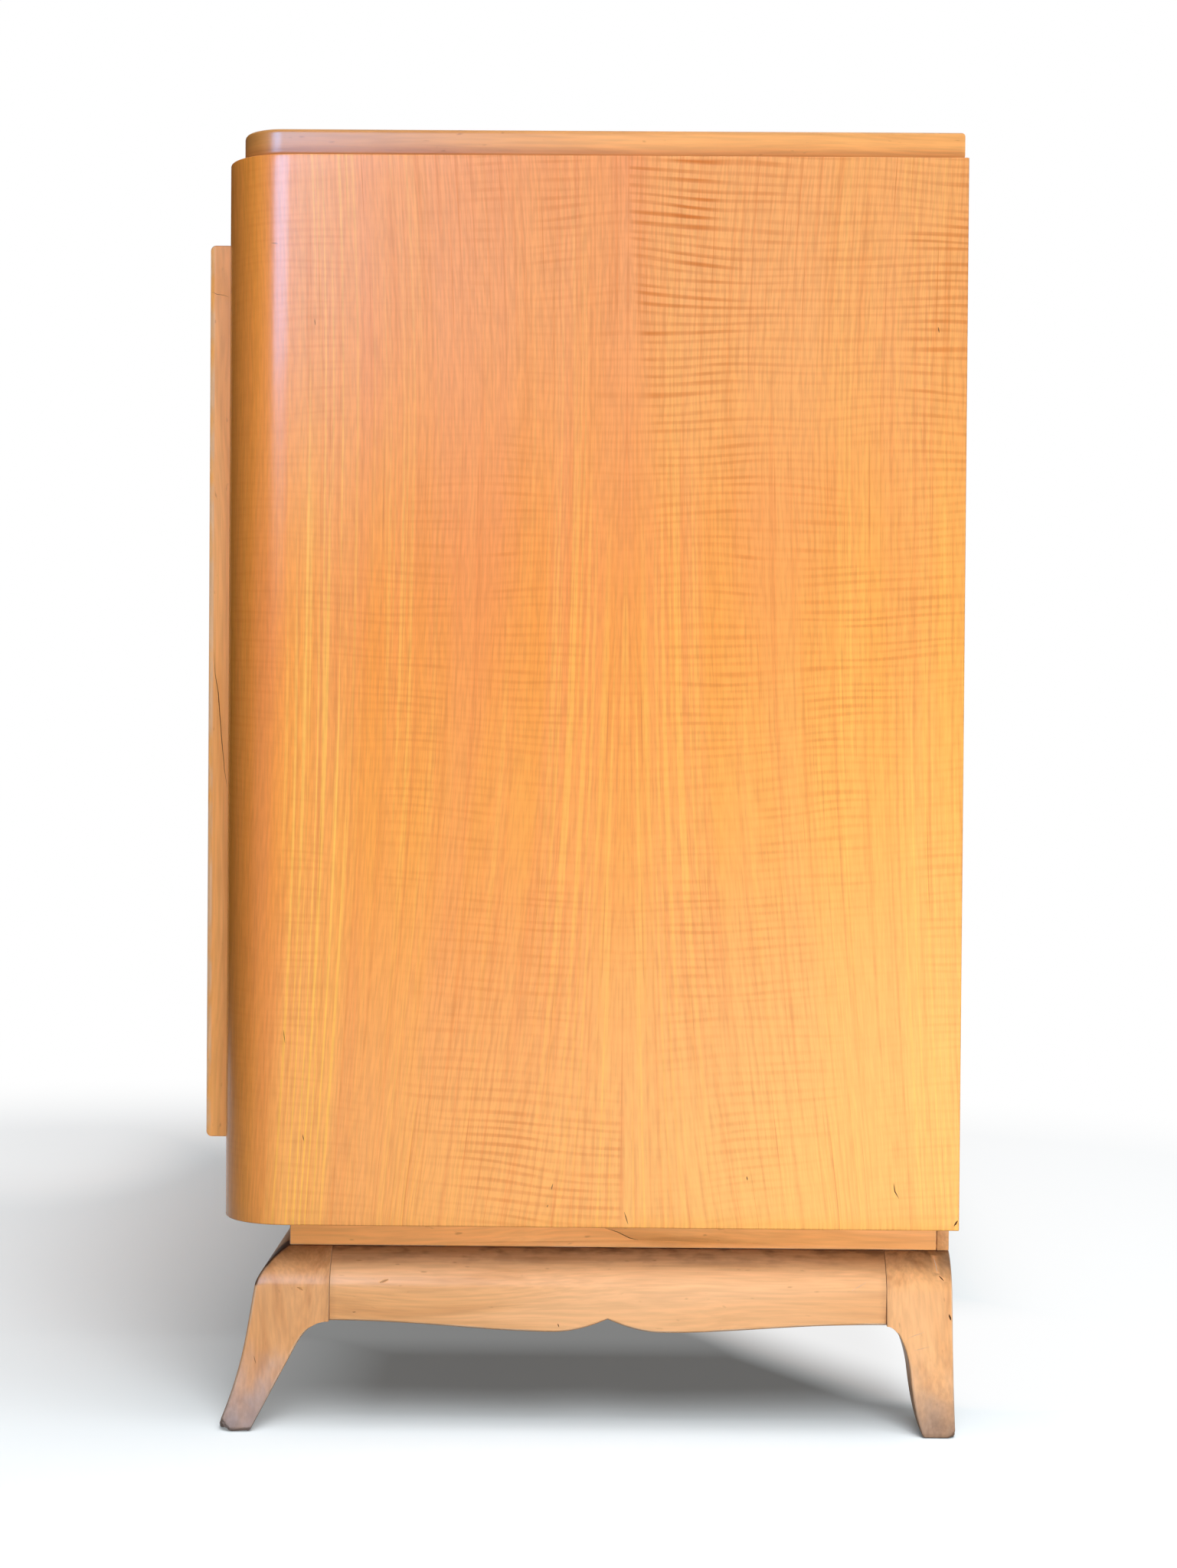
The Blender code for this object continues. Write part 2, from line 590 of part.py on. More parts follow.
def add_runners(level_name, middle_z):
    front_y = DRAWER_FACE_Y + RUNNER_SETBACK
    for hand, side in (("right", 1), ("left", -1)):
        xs = sorted((side * (OPENING_X - RUNNER_PROJECTION), side * (OPENING_X - JOINT_GAP)))
        board("runner_{}_{}".format(level_name, hand), (xs[0], front_y, middle_z - RUNNER_HEIGHT / 2),
              (xs[1], INNER_BACK_Y, middle_z + RUNNER_HEIGHT / 2), plain_beech)


def tail_heights():
    # Lower and upper edge of each dovetail at its wide end
    step = (DRAWER_BOX_HEIGHT - PIN_WIDTH) / TAIL_COUNT
    base = -DRAWER_BOX_HEIGHT / 2 + PIN_WIDTH
    return [(base + step * index, base + step * (index + 1) - PIN_WIDTH) for index in range(TAIL_COUNT)]


def drawer_side_outline():
    # Long board with dovetails at both ends, as (behind the drawer's face, height from its middle)
    half = DRAWER_BOX_HEIGHT / 2
    front_shoulder = DRAWER_FRONT_THICKNESS + JOINT_GAP
    front_tip = DRAWER_FRONT_THICKNESS - FRONT_TAIL_LENGTH
    rear_shoulder = DRAWER_BOX_END - DRAWER_BACK_THICKNESS - JOINT_GAP
    front_taper = (front_shoulder - front_tip) * TAIL_SLOPE
    rear_taper = (DRAWER_BOX_END - rear_shoulder) * TAIL_SLOPE
    front, rear = [(front_shoulder, -half)], [(rear_shoulder, -half)]
    for low, high in tail_heights():
        front += [(front_shoulder, low + front_taper), (front_tip, low)]
        front += [(front_tip, high), (front_shoulder, high - front_taper)]
        rear += [(rear_shoulder, low + rear_taper), (DRAWER_BOX_END, low)]
        rear += [(DRAWER_BOX_END, high), (rear_shoulder, high - rear_taper)]
    return front + [(front_shoulder, half), (rear_shoulder, half)] + rear[:0:-1] + [(rear_shoulder, -half)]


def socket_outlines():
    # Pockets for the dovetails in the drawer front and back, one hairline larger than the tails
    front_tip = DRAWER_FRONT_THICKNESS - FRONT_TAIL_LENGTH
    front_run = (front_tip - JOINT_GAP, DRAWER_FRONT_THICKNESS + CUT_OVERRUN)
    rear_run = (DRAWER_BOX_END + CUT_OVERRUN, DRAWER_BOX_END - DRAWER_BACK_THICKNESS - CUT_OVERRUN)
    outlines = []
    for low, high in tail_heights():
        for tip, run in ((front_tip, front_run), (DRAWER_BOX_END, rear_run)):
            edges = []
            for place in run:
                inward = (tip - place) if run is rear_run else (place - tip)
                edges.append(inward * TAIL_SLOPE - JOINT_GAP)
            outlines.append([(run[0], low + edges[0]), (run[0], high - edges[0]),
                             (run[1], high - edges[1]), (run[1], low + edges[1])])
    return outlines


def knob_mesh():
    # Turned profile, as (radius, distance in front of the drawer's face), from the crown to the tenon's end
    head, neck = KNOB_HEAD_DIAMETER / 2, KNOB_NECK_DIAMETER / 2
    foot, tenon = KNOB_FOOT_DIAMETER / 2, KNOB_TENON_DIAMETER / 2
    crown, rim = (0, KNOB_PROJECTION), (head, KNOB_PROJECTION - KNOB_CROWN_HEIGHT)
    waist, flange = (neck, KNOB_NECK_HEIGHT), (foot, KNOB_FOOT_HEIGHT)
    under_head = KNOB_PROJECTION - KNOB_HEAD_HEIGHT
    profile = [crown]
    profile += curve_between(crown, rim, KNOB_CROWN_HANDLE, KNOB_RIM_HANDLE, KNOB_CURVE_STEPS)
    profile += bezier(rim, (head, under_head), (neck, under_head), waist, KNOB_CURVE_STEPS)
    profile += bezier(waist, (neck, KNOB_FOOT_HEIGHT), (neck, KNOB_FOOT_HEIGHT), flange, KNOB_CURVE_STEPS)
    profile += [(foot, JOINT_GAP), (tenon, JOINT_GAP), (tenon, -KNOB_TENON_LENGTH), (0, -KNOB_TENON_LENGTH)]
    mesh = bpy.data.meshes.new("knob")
    shape = bmesh.new()
    verts = [shape.verts.new((radius, 0, height)) for radius, height in profile]
    for first, second in zip(verts, verts[1:]):
        shape.edges.new((first, second))
    shape.to_mesh(mesh)
    shape.free()
    return mesh


def add_knob(name, parent, x):
    knob = add_piece(name, knob_mesh(), solid_sycamore, (x, 0, 0), parent)
    knob.rotation_euler = (math.pi / 2, 0, 0)
    turning = knob.modifiers.new("turning", 'SCREW')
    turning.steps = KNOB_STEPS
    turning.render_steps = KNOB_STEPS
    turning.use_merge_vertices = True
    turning.merge_threshold = WELD_DISTANCE
    turning.use_smooth_shade = True


def knob_hole(name, parent, x):
    mesh = bpy.data.meshes.new(name)
    shape = bmesh.new()
    radius = KNOB_TENON_DIAMETER / 2 + JOINT_GAP
    bmesh.ops.create_cone(shape, cap_ends=True, segments=KNOB_STEPS, radius1=radius, radius2=radius,
                          depth=DRAWER_FRONT_THICKNESS + 2 * CUT_OVERRUN)
    shape.to_mesh(mesh)
    shape.free()
    hole = add_cutter(name, mesh, (x, DRAWER_FRONT_THICKNESS / 2, 0), parent)
    hole.rotation_euler = (math.pi / 2, 0, 0)
    return hole


def add_drawer(level_name, middle_z):
    name = "drawer_" + level_name
    slide = bpy.data.objects.new(name + "_slide", None)
    slide.location = (0, DRAWER_FACE_Y, middle_z)
    parts.objects.link(slide)
    half_box = DRAWER_BOX_HEIGHT / 2
    inner_x = DRAWER_X - DRAWER_SIDE_THICKNESS
    bottom_z = -half_box + DRAWER_BOTTOM_RISE
    bottom_top_z = bottom_z + DRAWER_BOTTOM_THICKNESS

    front = board(name + "_front", (-DRAWER_X, 0, -DRAWER_FRONT_HEIGHT / 2),
                  (DRAWER_X, DRAWER_FRONT_THICKNESS, DRAWER_FRONT_HEIGHT / 2), sycamore_veneer, slide)
    back_y = DRAWER_BOX_END - DRAWER_BACK_THICKNESS
    back = board(name + "_back", (-DRAWER_X, back_y, bottom_top_z + JOINT_GAP),
                 (DRAWER_X, DRAWER_BOX_END, half_box), plain_beech, slide)

    groove_x = inner_x + BOTTOM_GROOVE_DEPTH
    groove_y = DRAWER_FRONT_THICKNESS - BOTTOM_GROOVE_DEPTH
    board(name + "_bottom", (-groove_x + JOINT_GAP, groove_y + JOINT_GAP, bottom_z),
          (groove_x - JOINT_GAP, DRAWER_BOX_END, bottom_top_z), birch_ply, slide)
    bottom_groove = box_cutter(name + "_bottom_groove", (-groove_x, groove_y, bottom_z - JOINT_GAP),
                               (groove_x, DRAWER_BOX_END + CUT_OVERRUN, bottom_top_z + JOINT_GAP), slide)
    carve(front, bottom_groove)

    for hand, side in (("right", 1), ("left", -1)):
        side_name = "{}_side_{}".format(name, hand)
        side_mesh = outline_mesh(side_name, [drawer_side_outline()], DRAWER_SIDE_THICKNESS, "side")
        middle_x = side * (DRAWER_X - DRAWER_SIDE_THICKNESS / 2)
        board_piece = add_piece(side_name, side_mesh, plain_beech, (middle_x, 0, 0), slide)
        carve(board_piece, bottom_groove)

        runner_depth = RUNNER_PROJECTION - DRAWER_SIDE_GAP + RUNNER_TIP_CLEARANCE
        xs = sorted((side * (DRAWER_X - runner_depth), side * (DRAWER_X + CUT_OVERRUN)))
        runner_groove = box_cutter(
            side_name + "_runner_groove",
            (xs[0], DRAWER_FRONT_THICKNESS + GROOVE_STOP, -RUNNER_HEIGHT / 2 - RUNNER_LOWER_CLEARANCE),
            (xs[1], DRAWER_BOX_END + CUT_OVERRUN, RUNNER_HEIGHT / 2 + JOINT_GAP), slide)
        carve(board_piece, runner_groove)
        carve(back, runner_groove)

        socket_width = DRAWER_SIDE_THICKNESS + JOINT_GAP + CUT_OVERRUN
        socket_mesh = outline_mesh(side_name + "_sockets", socket_outlines(), socket_width, "side")
        socket_x = side * (inner_x - JOINT_GAP + socket_width / 2)
        sockets = add_cutter(side_name + "_sockets", socket_mesh, (socket_x, 0, 0), slide)
        carve(front, sockets)
        carve(back, sockets)

        knob_x = side * KNOB_SPACING / 2
        carve(front, knob_hole("{}_knob_hole_{}".format(name, hand), slide, knob_x))
        add_knob("{}_knob_{}".format(name, hand), slide, knob_x)


add_legs()
add_aprons()
add_plinth()
add_carcase()
add_top()
add_frame()
add_dividers()
for drawer_level, drawer_name in enumerate(DRAWER_NAMES):
    add_runners(drawer_name, drawer_middle_z(drawer_level))
    add_drawer(drawer_name, drawer_middle_z(drawer_level))
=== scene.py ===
# Looks of the commode: figured sycamore veneer on the carcase and drawers, solid sycamore below,
# beech and birch ply inside. Metres, front towards -Y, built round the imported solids.
import json
import math

import bmesh
import bpy
import numpy as np
from mathutils import Matrix, Vector
from mathutils.bvhtree import BVHTree

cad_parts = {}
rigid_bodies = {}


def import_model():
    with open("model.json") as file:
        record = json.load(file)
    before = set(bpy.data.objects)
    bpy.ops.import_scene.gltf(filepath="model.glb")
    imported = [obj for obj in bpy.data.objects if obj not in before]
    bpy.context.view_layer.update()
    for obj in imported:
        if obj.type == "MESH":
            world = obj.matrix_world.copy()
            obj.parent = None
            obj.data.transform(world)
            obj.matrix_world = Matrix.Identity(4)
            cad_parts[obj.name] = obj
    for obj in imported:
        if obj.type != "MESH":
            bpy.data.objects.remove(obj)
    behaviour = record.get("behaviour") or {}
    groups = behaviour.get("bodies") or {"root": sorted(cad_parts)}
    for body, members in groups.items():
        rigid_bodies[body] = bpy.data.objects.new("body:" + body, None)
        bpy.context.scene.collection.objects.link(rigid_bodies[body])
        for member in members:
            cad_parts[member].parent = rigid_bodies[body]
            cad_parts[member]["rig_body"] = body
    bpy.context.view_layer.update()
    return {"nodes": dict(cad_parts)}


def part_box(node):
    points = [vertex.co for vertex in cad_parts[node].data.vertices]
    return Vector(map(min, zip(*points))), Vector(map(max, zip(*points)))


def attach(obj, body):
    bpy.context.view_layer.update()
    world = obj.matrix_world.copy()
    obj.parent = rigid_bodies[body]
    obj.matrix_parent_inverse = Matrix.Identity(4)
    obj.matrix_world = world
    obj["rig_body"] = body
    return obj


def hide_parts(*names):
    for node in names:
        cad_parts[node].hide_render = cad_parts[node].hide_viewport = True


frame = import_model()
nodes = frame["nodes"]
scene = bpy.context.scene


# Colours and shader nodes

multiply, multiplyAdd, larger = ({'operation': word} for word in ('MULTIPLY', 'MULTIPLY_ADD', 'MAXIMUM'))
smooth = {'interpolation_type': 'SMOOTHSTEP'}
tinted = {'data_type': 'RGBA'}


def linear(hexColour):
    shares = [int(hexColour[at:at + 2], 16) / 255 for at in (1, 3, 5)]
    return [s / 12.92 if s <= 0.04045 else ((s + 0.055) / 1.055) ** 2.4 for s in shares] + [1.0]


def addNode(tree, kind, settings, inputs):
    # Inputs are given by socket, or in a row from the first one: outputs are linked, values are set
    node = tree.nodes.new('ShaderNode' + kind)
    for key, value in settings.items():
        setattr(node, key, value)
    for socket, value in inputs.items() if isinstance(inputs, dict) else enumerate(inputs):
        if isinstance(value, bpy.types.NodeSocket):
            tree.links.new(value, node.inputs[socket])
        else:
            node.inputs[socket].default_value = value
    return node.outputs


def startMaterial(name, shine):
    material = bpy.data.materials.new(name)
    material.use_nodes = True
    shader = material.node_tree.nodes["Principled BSDF"]
    for socket, value in shine.items():
        shader.inputs[socket].default_value = value
    return material, material.node_tree, shader


def grainStreaks(tree, place, streaks):
    # One stretched noise for each streak: millimetres across, through and along the grain, seed, detail;
    # then, if it is laid on as a share, where the streak starts and is full, and the share at both
    noises, shares = {}, {}
    for name, (across, through, along, seed, detail, *reach) in streaks.items():
        scale = (1000 / across, 1000 / through if through else 0, 1000 / along)
        spread = addNode(tree, 'VectorMath', multiplyAdd, (place, scale, (seed, seed * 0.7, seed * 1.3)))[0]
        inputs = {'Vector': spread, 'Scale': 1.0, 'Detail': detail}
        noises[name] = addNode(tree, 'TexNoise', {}, inputs)['Fac']
        if reach:
            shares[name] = addNode(tree, 'MapRange', smooth, (noises[name], *reach))[0]
    return noises, shares


def finishWood(tree, shader, look, noises, shares, ground, layers):
    # Tints laid over the ground in turn, broken up by the fine grain, which also stands up a little
    colour = linear(look[ground])
    for share, tint in layers:
        colour = addNode(tree, 'Mix', tinted, {0: shares[share], 6: colour, 7: linear(look[tint])})[2]
    colour = addNode(tree, 'VectorMath', {'operation': 'SCALE'}, {0: colour, 'Scale': shares["fine"]})[0]
    tree.links.new(colour, shader.inputs['Base Color'])
    relief = addNode(tree, 'Bump', {}, {'Height': noises["fine"], **look["relief"]})[0]
    tree.links.new(relief, shader.inputs['Normal'])


# Sycamore veneer, sliced and book-matched, french polished: satin gloss, straight fine grain,
# cross ripples of the fiddleback figure, bundles of golden streaks and dark hairlines
veneerLook = {
    "rose": "#EF8F4F", "base": "#F29541", "gold": "#FFC35E", "line": "#DB8040", "ripple": "#D07127",
    # pale pink is a painted reflection, pale yellow painted warm light, dark amber painted shade
    "paintedWarmLight": "#F8B75E", "faded": "#EFAC85", "amber": "#DC9236",
    "shine": {"Roughness": 0.27, "IOR": 1.45, "Specular IOR Level": 0.24, "Coat Weight": 0.08,
              "Coat Roughness": 0.08, "Coat IOR": 1.45},
    "relief": {"Strength": 0.06, "Distance": 0.0003},
    "streaks": {
        "fine": (1.2, 0, 18, 3.1, 2.0, 0.25, 0.75, 0.91, 1.07),    # pores are finer; as coarse as shows
        "medium": (2.6, 0, 230, 11.7, 2.0, 0.44, 0.76, 0.0, 0.36),
        "broad": (30, 0, 520, 23.9, 2.0, 0.36, 0.64, 0.0, 1.0),
        "goldLine": (2.3, 0, 460, 37.3, 1.0, 0.51, 0.65, 0.0, 0.92),
        "goldBundle": (55, 0, 620, 43.7, 1.0, 0.50, 0.70, 0.06, 0.50),
        "darkLine": (1.2, 0, 150, 51.1, 1.0, 0.66, 0.80, 0.0, 0.60),
        "drift": (260, 0, 330, 67.7, 1.0, 0.35, 0.65, 0.0, 0.22),
    },
    "bars": {
        "sway": (150, 0, 110, 71.3, 1.0),
        "column": (34, 0, 210, 83.9, 1.0, 0.32, 0.68, 0.10, 0.44),
        "broken": (62, 0, 8.5, 97.1, 2.0, 0.32, 0.68, 0.25, 1.0),
        "patch": (105, 0, 150, 103.3, 1.0, 0.38, 0.62, 0.42, 1.0),
    },
    "sway": {"sway": (260, 0, 620, 5.3, 1.0)},
    "wander": 0.016,                                              # metres that the grain sways
    "spreads": {"towardsFoot": -0.039, "towardsHead": -0.010},    # metres by which it leaves the seam
    "calm": ((0.0, 0.10, 0.25, 1.0), (0.12, 0.22, 1.0, 0.5)),     # less so at the seam and far out
    "ripplePeriod": 5.8,                                          # millimetres from bar to bar
    "barSway": 0.018, "barStretch": 0.13,
    "barWobble": {'Distortion': 5.2, 'Detail': 2.0, 'Detail Scale': 0.8},
    "bandShare": 0.24,      # gold between the lines of the widest bundle
    "warmLightSlant": 1.2,        # the painted warm light runs up towards the rear edge
    # Shares by place on the leaf: what is measured, in metres, where it starts and ends, the share at both
    "evenShares": {
        # Painted warm light: paler and yellower towards the lower rear of the right side
        "paintedWarmLight": ("lower", -0.70, 0.0, 0.0, 0.90), "leftMore": ("fromSeam", -0.02, 0.18, 1.0, 0.8),
        "towardsFoot": ("along", 0.68, 0.14, 0.0, 1.0), "towardsHead": ("along", 0.64, 0.84, 0.0, 1.0),
        "tilt": ("along", 0.45, 0.80, -0.08, 0.05), "seamShift": ("along", 0.83, 0.64, 0.0, -0.022),
    },
    "softShares": {
        "onRight": ("along", 0.90, 0.95, 1.0, 0.0), "elsewhere": ("along", 0.90, 0.95, 0.0, 1.0),
        "homeRise": ("across", 0.171, 0.189, 0.0, 1.0), "homeWane": ("across", 0.215, 0.235, 1.0, 0.0),
        "homeLeaf": ("fromSeam", -0.01, 0.01, 1.0, 0.55), "flat": ("fromSeam", -0.242, -0.214, 0.0, 1.0),
        # Painted reflection: pale sheen towards the head and the foot of the leaves, with leftMore stronger
        # towards the front
        "paintedSheenHead": ("along", 0.50, 0.78, 0.0, 0.42), "paintedSheenFoot": ("along", 0.42, 0.18, 0.0, 0.42),
        "rightLeaf": ("fromSeam", -0.004, 0.03, 0.0, 0.50), "rightHead": ("along", 0.50, 0.72, 0.0, 1.0),
        # bend: the right side's bend, which gets painted shade
        "bend": ("fromSeam", -0.222, -0.262, 0.0, 0.50), "seam": ("leaf", 0.0, 0.0007, 0.35, 0.0),
        "bar": ("wave", 0.30, 1.0, 0.0, 1.0), "barLeaf": ("fromSeam", 0.0, 0.0001, 0.82, 1.0),
        "barHead": ("along", 0.20, 0.70, 0.80, 1.02), "barOuter": ("fromSeam", -0.20, -0.11, 0.55, 1.0),
        "barLowerRear": ("lower", -0.25, 0.05, 1.0, 0.42), "seamRise": ("seamPlace", -0.008, 0.002, 0.0, 0.55),
        "seamFall": ("seamPlace", 0.030, 0.100, 1.0, 0.30), "seamHigh": ("along", 0.54, 0.76, 0.0, 1.0),
        "seamSide": ("fromSeam", 0.0, 0.0006, 0.0, 1.0),
        "footSide": ("fromSeam", -0.12, -0.04, 0.0, 0.38), "footSeam": ("fromSeam", -0.002, 0.002, 1.0, 0.0),
        "footLow": ("along", 0.25, 0.19, 0.0, 1.0),
    },
}


def figuredVeneer(look):
    material, tree, shader = startMaterial("sycamoreVeneer", look["shine"])
    grain = addNode(tree, 'Attribute', {'attribute_name': "grain"}, {})['Vector']
    parts = addNode(tree, 'SeparateXYZ', {}, (grain,))
    fromSeam, along = parts[0], parts[2]
    leaf = addNode(tree, 'Math', {'operation': 'ABSOLUTE'}, (fromSeam,))[0]
    mirrored = addNode(tree, 'CombineXYZ', {}, {0: leaf, 2: along})[0]
    slant = addNode(tree, 'Math', multiply, (fromSeam, look["warmLightSlant"]))[0]
    lower = addNode(tree, 'Math', {'operation': 'SUBTRACT'}, (slant, along))[0]
    measures = {"fromSeam": fromSeam, "along": along, "leaf": leaf, "lower": lower}
    shares = {"bandShare": look["bandShare"]}
    for name, (measure, *reach) in look["evenShares"].items():
        shares[name] = addNode(tree, 'MapRange', {}, (measures[measure], *reach))[0]

    # The grain sways, and spreads away from the seam towards the head and the foot of the leaf
    sway = grainStreaks(tree, mirrored, look["sway"])[0]["sway"]
    across = addNode(tree, 'Math', multiplyAdd, (sway, look["wander"], leaf))[0]
    calm = 1.0
    for reach in look["calm"]:
        part = addNode(tree, 'MapRange', smooth, (leaf, *reach))[0]
        calm = addNode(tree, 'Math', multiply, (part, calm))[0]
    for name, metres in look["spreads"].items():
        slack = addNode(tree, 'Math', multiply, (shares[name], calm))[0]
        spread = addNode(tree, 'Math', multiply, (shares[name], slack))[0]
        across = addNode(tree, 'Math', multiplyAdd, (spread, metres, across))[0]
    place = addNode(tree, 'CombineXYZ', {}, {0: across, 2: along})[0]
    noises, streakShares = grainStreaks(tree, place, look["streaks"])

    # Fiddleback: bars across the grain; a wave at scale 1 repeats every 314 mm
    bars, barShares = grainStreaks(tree, mirrored, look["bars"])
    tilted = addNode(tree, 'Math', multiplyAdd, (leaf, shares["tilt"], along))[0]
    swaying = addNode(tree, 'Math', multiplyAdd, (bars["sway"], look["barSway"], tilted))[0]
    stretched = addNode(tree, 'Math', multiply, (fromSeam, look["barStretch"]))[0]
    barPlace = addNode(tree, 'CombineXYZ', {}, (stretched, swaying))[0]
    wave = addNode(tree, 'TexWave', {'wave_type': 'BANDS', 'bands_direction': 'Y'},
                   {'Vector': barPlace, 'Scale': 314 / look["ripplePeriod"], **look["barWobble"]})['Fac']
    seamPlace = addNode(tree, 'Math', {'operation': 'ADD'}, (fromSeam, shares["seamShift"]))[0]
    measures.update(across=across, wave=wave, seamPlace=seamPlace)
    shares.update(streakShares, **barShares)
    for name, (measure, *reach) in look["softShares"].items():
        shares[name] = addNode(tree, 'MapRange', smooth, (measures[measure], *reach))[0]

    # Gold keeps to its bundles; a pale painted reflection lies on all but the right side's bend, which gets
    # painted shade, and the lower rear of the right side painted warm light; bars are strongest beside the
    # right leaf's seam and at the left leaf's foot
    for name, operation, first, *others in (
            ("home", 'MULTIPLY', "homeRise", "homeWane", "homeLeaf"),
            ("bundle", 'MAXIMUM', "home", "goldBundle"),
            ("goldBand", 'MULTIPLY', "home", "bandShare"),
            ("goldLines", 'MULTIPLY', "goldLine", "bundle"),
            ("golden", 'MAXIMUM', "goldLines", "goldBand"),
            # where the painted reflection lies: everywhere but the right side's bend
            ("paintedSheenPlace", 'MAXIMUM', "flat", "elsewhere"),
            ("paintedSheenHead", 'MULTIPLY', "paintedSheenHead", "paintedSheenPlace", "leftMore"),
            ("paintedSheenFoot", 'MULTIPLY', "paintedSheenFoot", "paintedSheenPlace"),
            # painted warm light, with the same tint at the head of the right leaf
            ("headRight", 'MULTIPLY', "rightLeaf", "rightHead", "onRight"),
            ("paintedWarmLight", 'MAXIMUM', "paintedWarmLight", "headRight"),
            # painted shade: darker amber on the bend of the right side
            ("kept", 'MULTIPLY', "bend", "onRight"),
            ("seamBars", 'MULTIPLY', "seamRise", "seamFall", "seamHigh", "onRight", "seamSide"),
            ("footBars", 'MULTIPLY', "footSide", "footSeam", "footLow"),
            ("bars", 'MULTIPLY', "column", "barLeaf", "patch", "barHead", "barOuter", "barLowerRear"),
            ("bars", 'ADD', "bars", "seamBars", "footBars"),
            ("ripple", 'MULTIPLY', "bar", "broken", "bars")):
        share = shares[first]
        for other in others:
            share = addNode(tree, 'Math', {'operation': operation}, (share, shares[other]))[0]
        shares[name] = share
    finishWood(tree, shader, look, noises, shares, "rose", (
        ("broad", "base"), ("paintedSheenFoot", "faded"), ("paintedWarmLight", "paintedWarmLight"), ("drift", "gold"),
        ("golden", "gold"), ("paintedSheenHead", "faded"), ("medium", "line"), ("darkLine", "line"),
        ("kept", "amber"), ("ripple", "ripple"), ("seam", "line")))
    return material


# Solid sycamore, planed and french polished, worn pale on its edges and grey at the feet
solidLook = {
    "base": "#D6975B", "pale": "#E4AC77", "tan": "#BE824D", "fleck": "#A06C40", "worn": "#D9BFA6",
    "foot": "#B4A8A8", "soil": "#54392A",
    "shine": {"Roughness": 0.36, "IOR": 1.45, "Specular IOR Level": 0.20},
    "relief": {"Strength": 0.12, "Distance": 0.0004},
    "streaks": {
        "rings": (7, 11, 210, 2.3, 2.0, 0.45, 0.78, 0.0, 0.66),
        "fine": (1.9, 1.9, 42, 9.1, 2.0, 0.25, 0.75, 0.90, 1.06),    # pores, drawn as coarse as shows
        "broad": (38, 46, 420, 15.7, 1.0, 0.35, 0.65, 0.0, 0.8),
        "fleck": (3.0, 3.0, 9, 29.9, 1.0, 0.70, 0.84, 0.0, 0.5),
        "rub": (12, 12, 26, 43.3, 2.0, 0.30, 0.62, 0.0, 0.6),
        "blotch": (7, 7, 15, 57.7, 3.0, 0.40, 0.66, 0.72, 1.0),
    },
    "sway": {"sway": (60, 60, 240, 61.3, 1.0)},
    "wander": 0.03,                                # metres that the grain sways
    "footHeight": 0.056, "footFull": 0.022, "footBlur": 0.05, "footShare": 0.9,    # grey of the feet
    "rough": (0.36, 0.62),                         # polished, and scuffed at the feet
    "paintedFrontShade": 0.0, "paintedFrontShadeRun": (0.10, -0.20),   # painted shade towards the front: where it runs, and how much
}
# Other boards of the same wood: rear legs, paler aprons, plinths with more polish, raised frame, and the
# glossy lipping of the slab, with painted shade towards its front
rearLook = dict(solidLook, base="#DFA164", pale="#EDB680", tan="#C68A54", foot="#BC9F88")
apronLook = dict(solidLook, base="#E4AB74", pale="#F1BD8C", tan="#CE945F", fleck="#A8764A")
polishedLook = dict(solidLook, base="#F5AF6A", pale="#FABB7E", tan="#E09A56", fleck="#A8703C")
frameLook = dict(polishedLook, base="#F1AA5E", pale="#F6B874", tan="#DC954C",
                 shine={"IOR": 1.45, "Specular IOR Level": 0.12}, rough=(0.42, 0.62))
# the lipping's fleck colour also paints the shade at its front
lippingLook = dict(polishedLook, base="#EFA85D", pale="#F6B56C", tan="#D18B4A", fleck="#9A5C18",
                   shine={"IOR": 1.45, "Specular IOR Level": 0.40}, rough=(0.33, 0.62), paintedFrontShade=0.52)


def solidSycamore(name, look):
    material, tree, shader = startMaterial(name, look["shine"])
    grain, wear, soil = (addNode(tree, 'Attribute', {'attribute_name': word}, {})[output]
                         for word, output in (("grain", 'Vector'), ("wear", 'Fac'), ("soil", 'Fac')))
    sway = grainStreaks(tree, grain, look["sway"])[0]["sway"]
    bend = addNode(tree, 'Math', multiplyAdd, (sway, look["wander"], -look["wander"] / 2))[0]
    shift = addNode(tree, 'CombineXYZ', {}, (bend, bend))[0]
    place = addNode(tree, 'VectorMath', {'operation': 'ADD'}, (grain, shift))[0]
    noises, shares = grainStreaks(tree, place, look["streaks"])
    spot = addNode(tree, 'SeparateXYZ', {}, (addNode(tree, 'TexCoord', {}, {})['Object'],))
    raised = addNode(tree, 'Math', multiplyAdd, (noises["rub"], look["footBlur"], spot[2]))[0]
    grey = (look["footHeight"] + look["footBlur"] / 2, look["footFull"], 0.0, look["footShare"])
    # painted shade, darker towards the front where the look asks for it
    paintedFrontShade = (*look["paintedFrontShadeRun"], 0.0, look["paintedFrontShade"])
    for key, measure, reach in (("dirt", raised, grey), ("paintedFrontShade", spot[1], paintedFrontShade)):
        shares[key] = addNode(tree, 'MapRange', smooth, (measure, *reach))[0]
    # the soil attribute carries both soil and painted shade
    for key, found, streak in (("rubbed", wear, "rub"), ("soiledAndShaded", soil, "blotch")):
        shares[key] = addNode(tree, 'Math', multiply, (found, shares[streak]))[0]
    finishWood(tree, shader, look, noises, shares, "base", (
        ("broad", "pale"), ("rings", "tan"), ("fleck", "fleck"), ("paintedFrontShade", "fleck"), ("rubbed", "worn"),
        ("dirt", "foot"), ("soiledAndShaded", "soil")))
    rough = addNode(tree, 'MapRange', {}, (shares["dirt"], 0.0, 0.8, *look["rough"]))[0]
    tree.links.new(rough, shader.inputs['Roughness'])
    return material


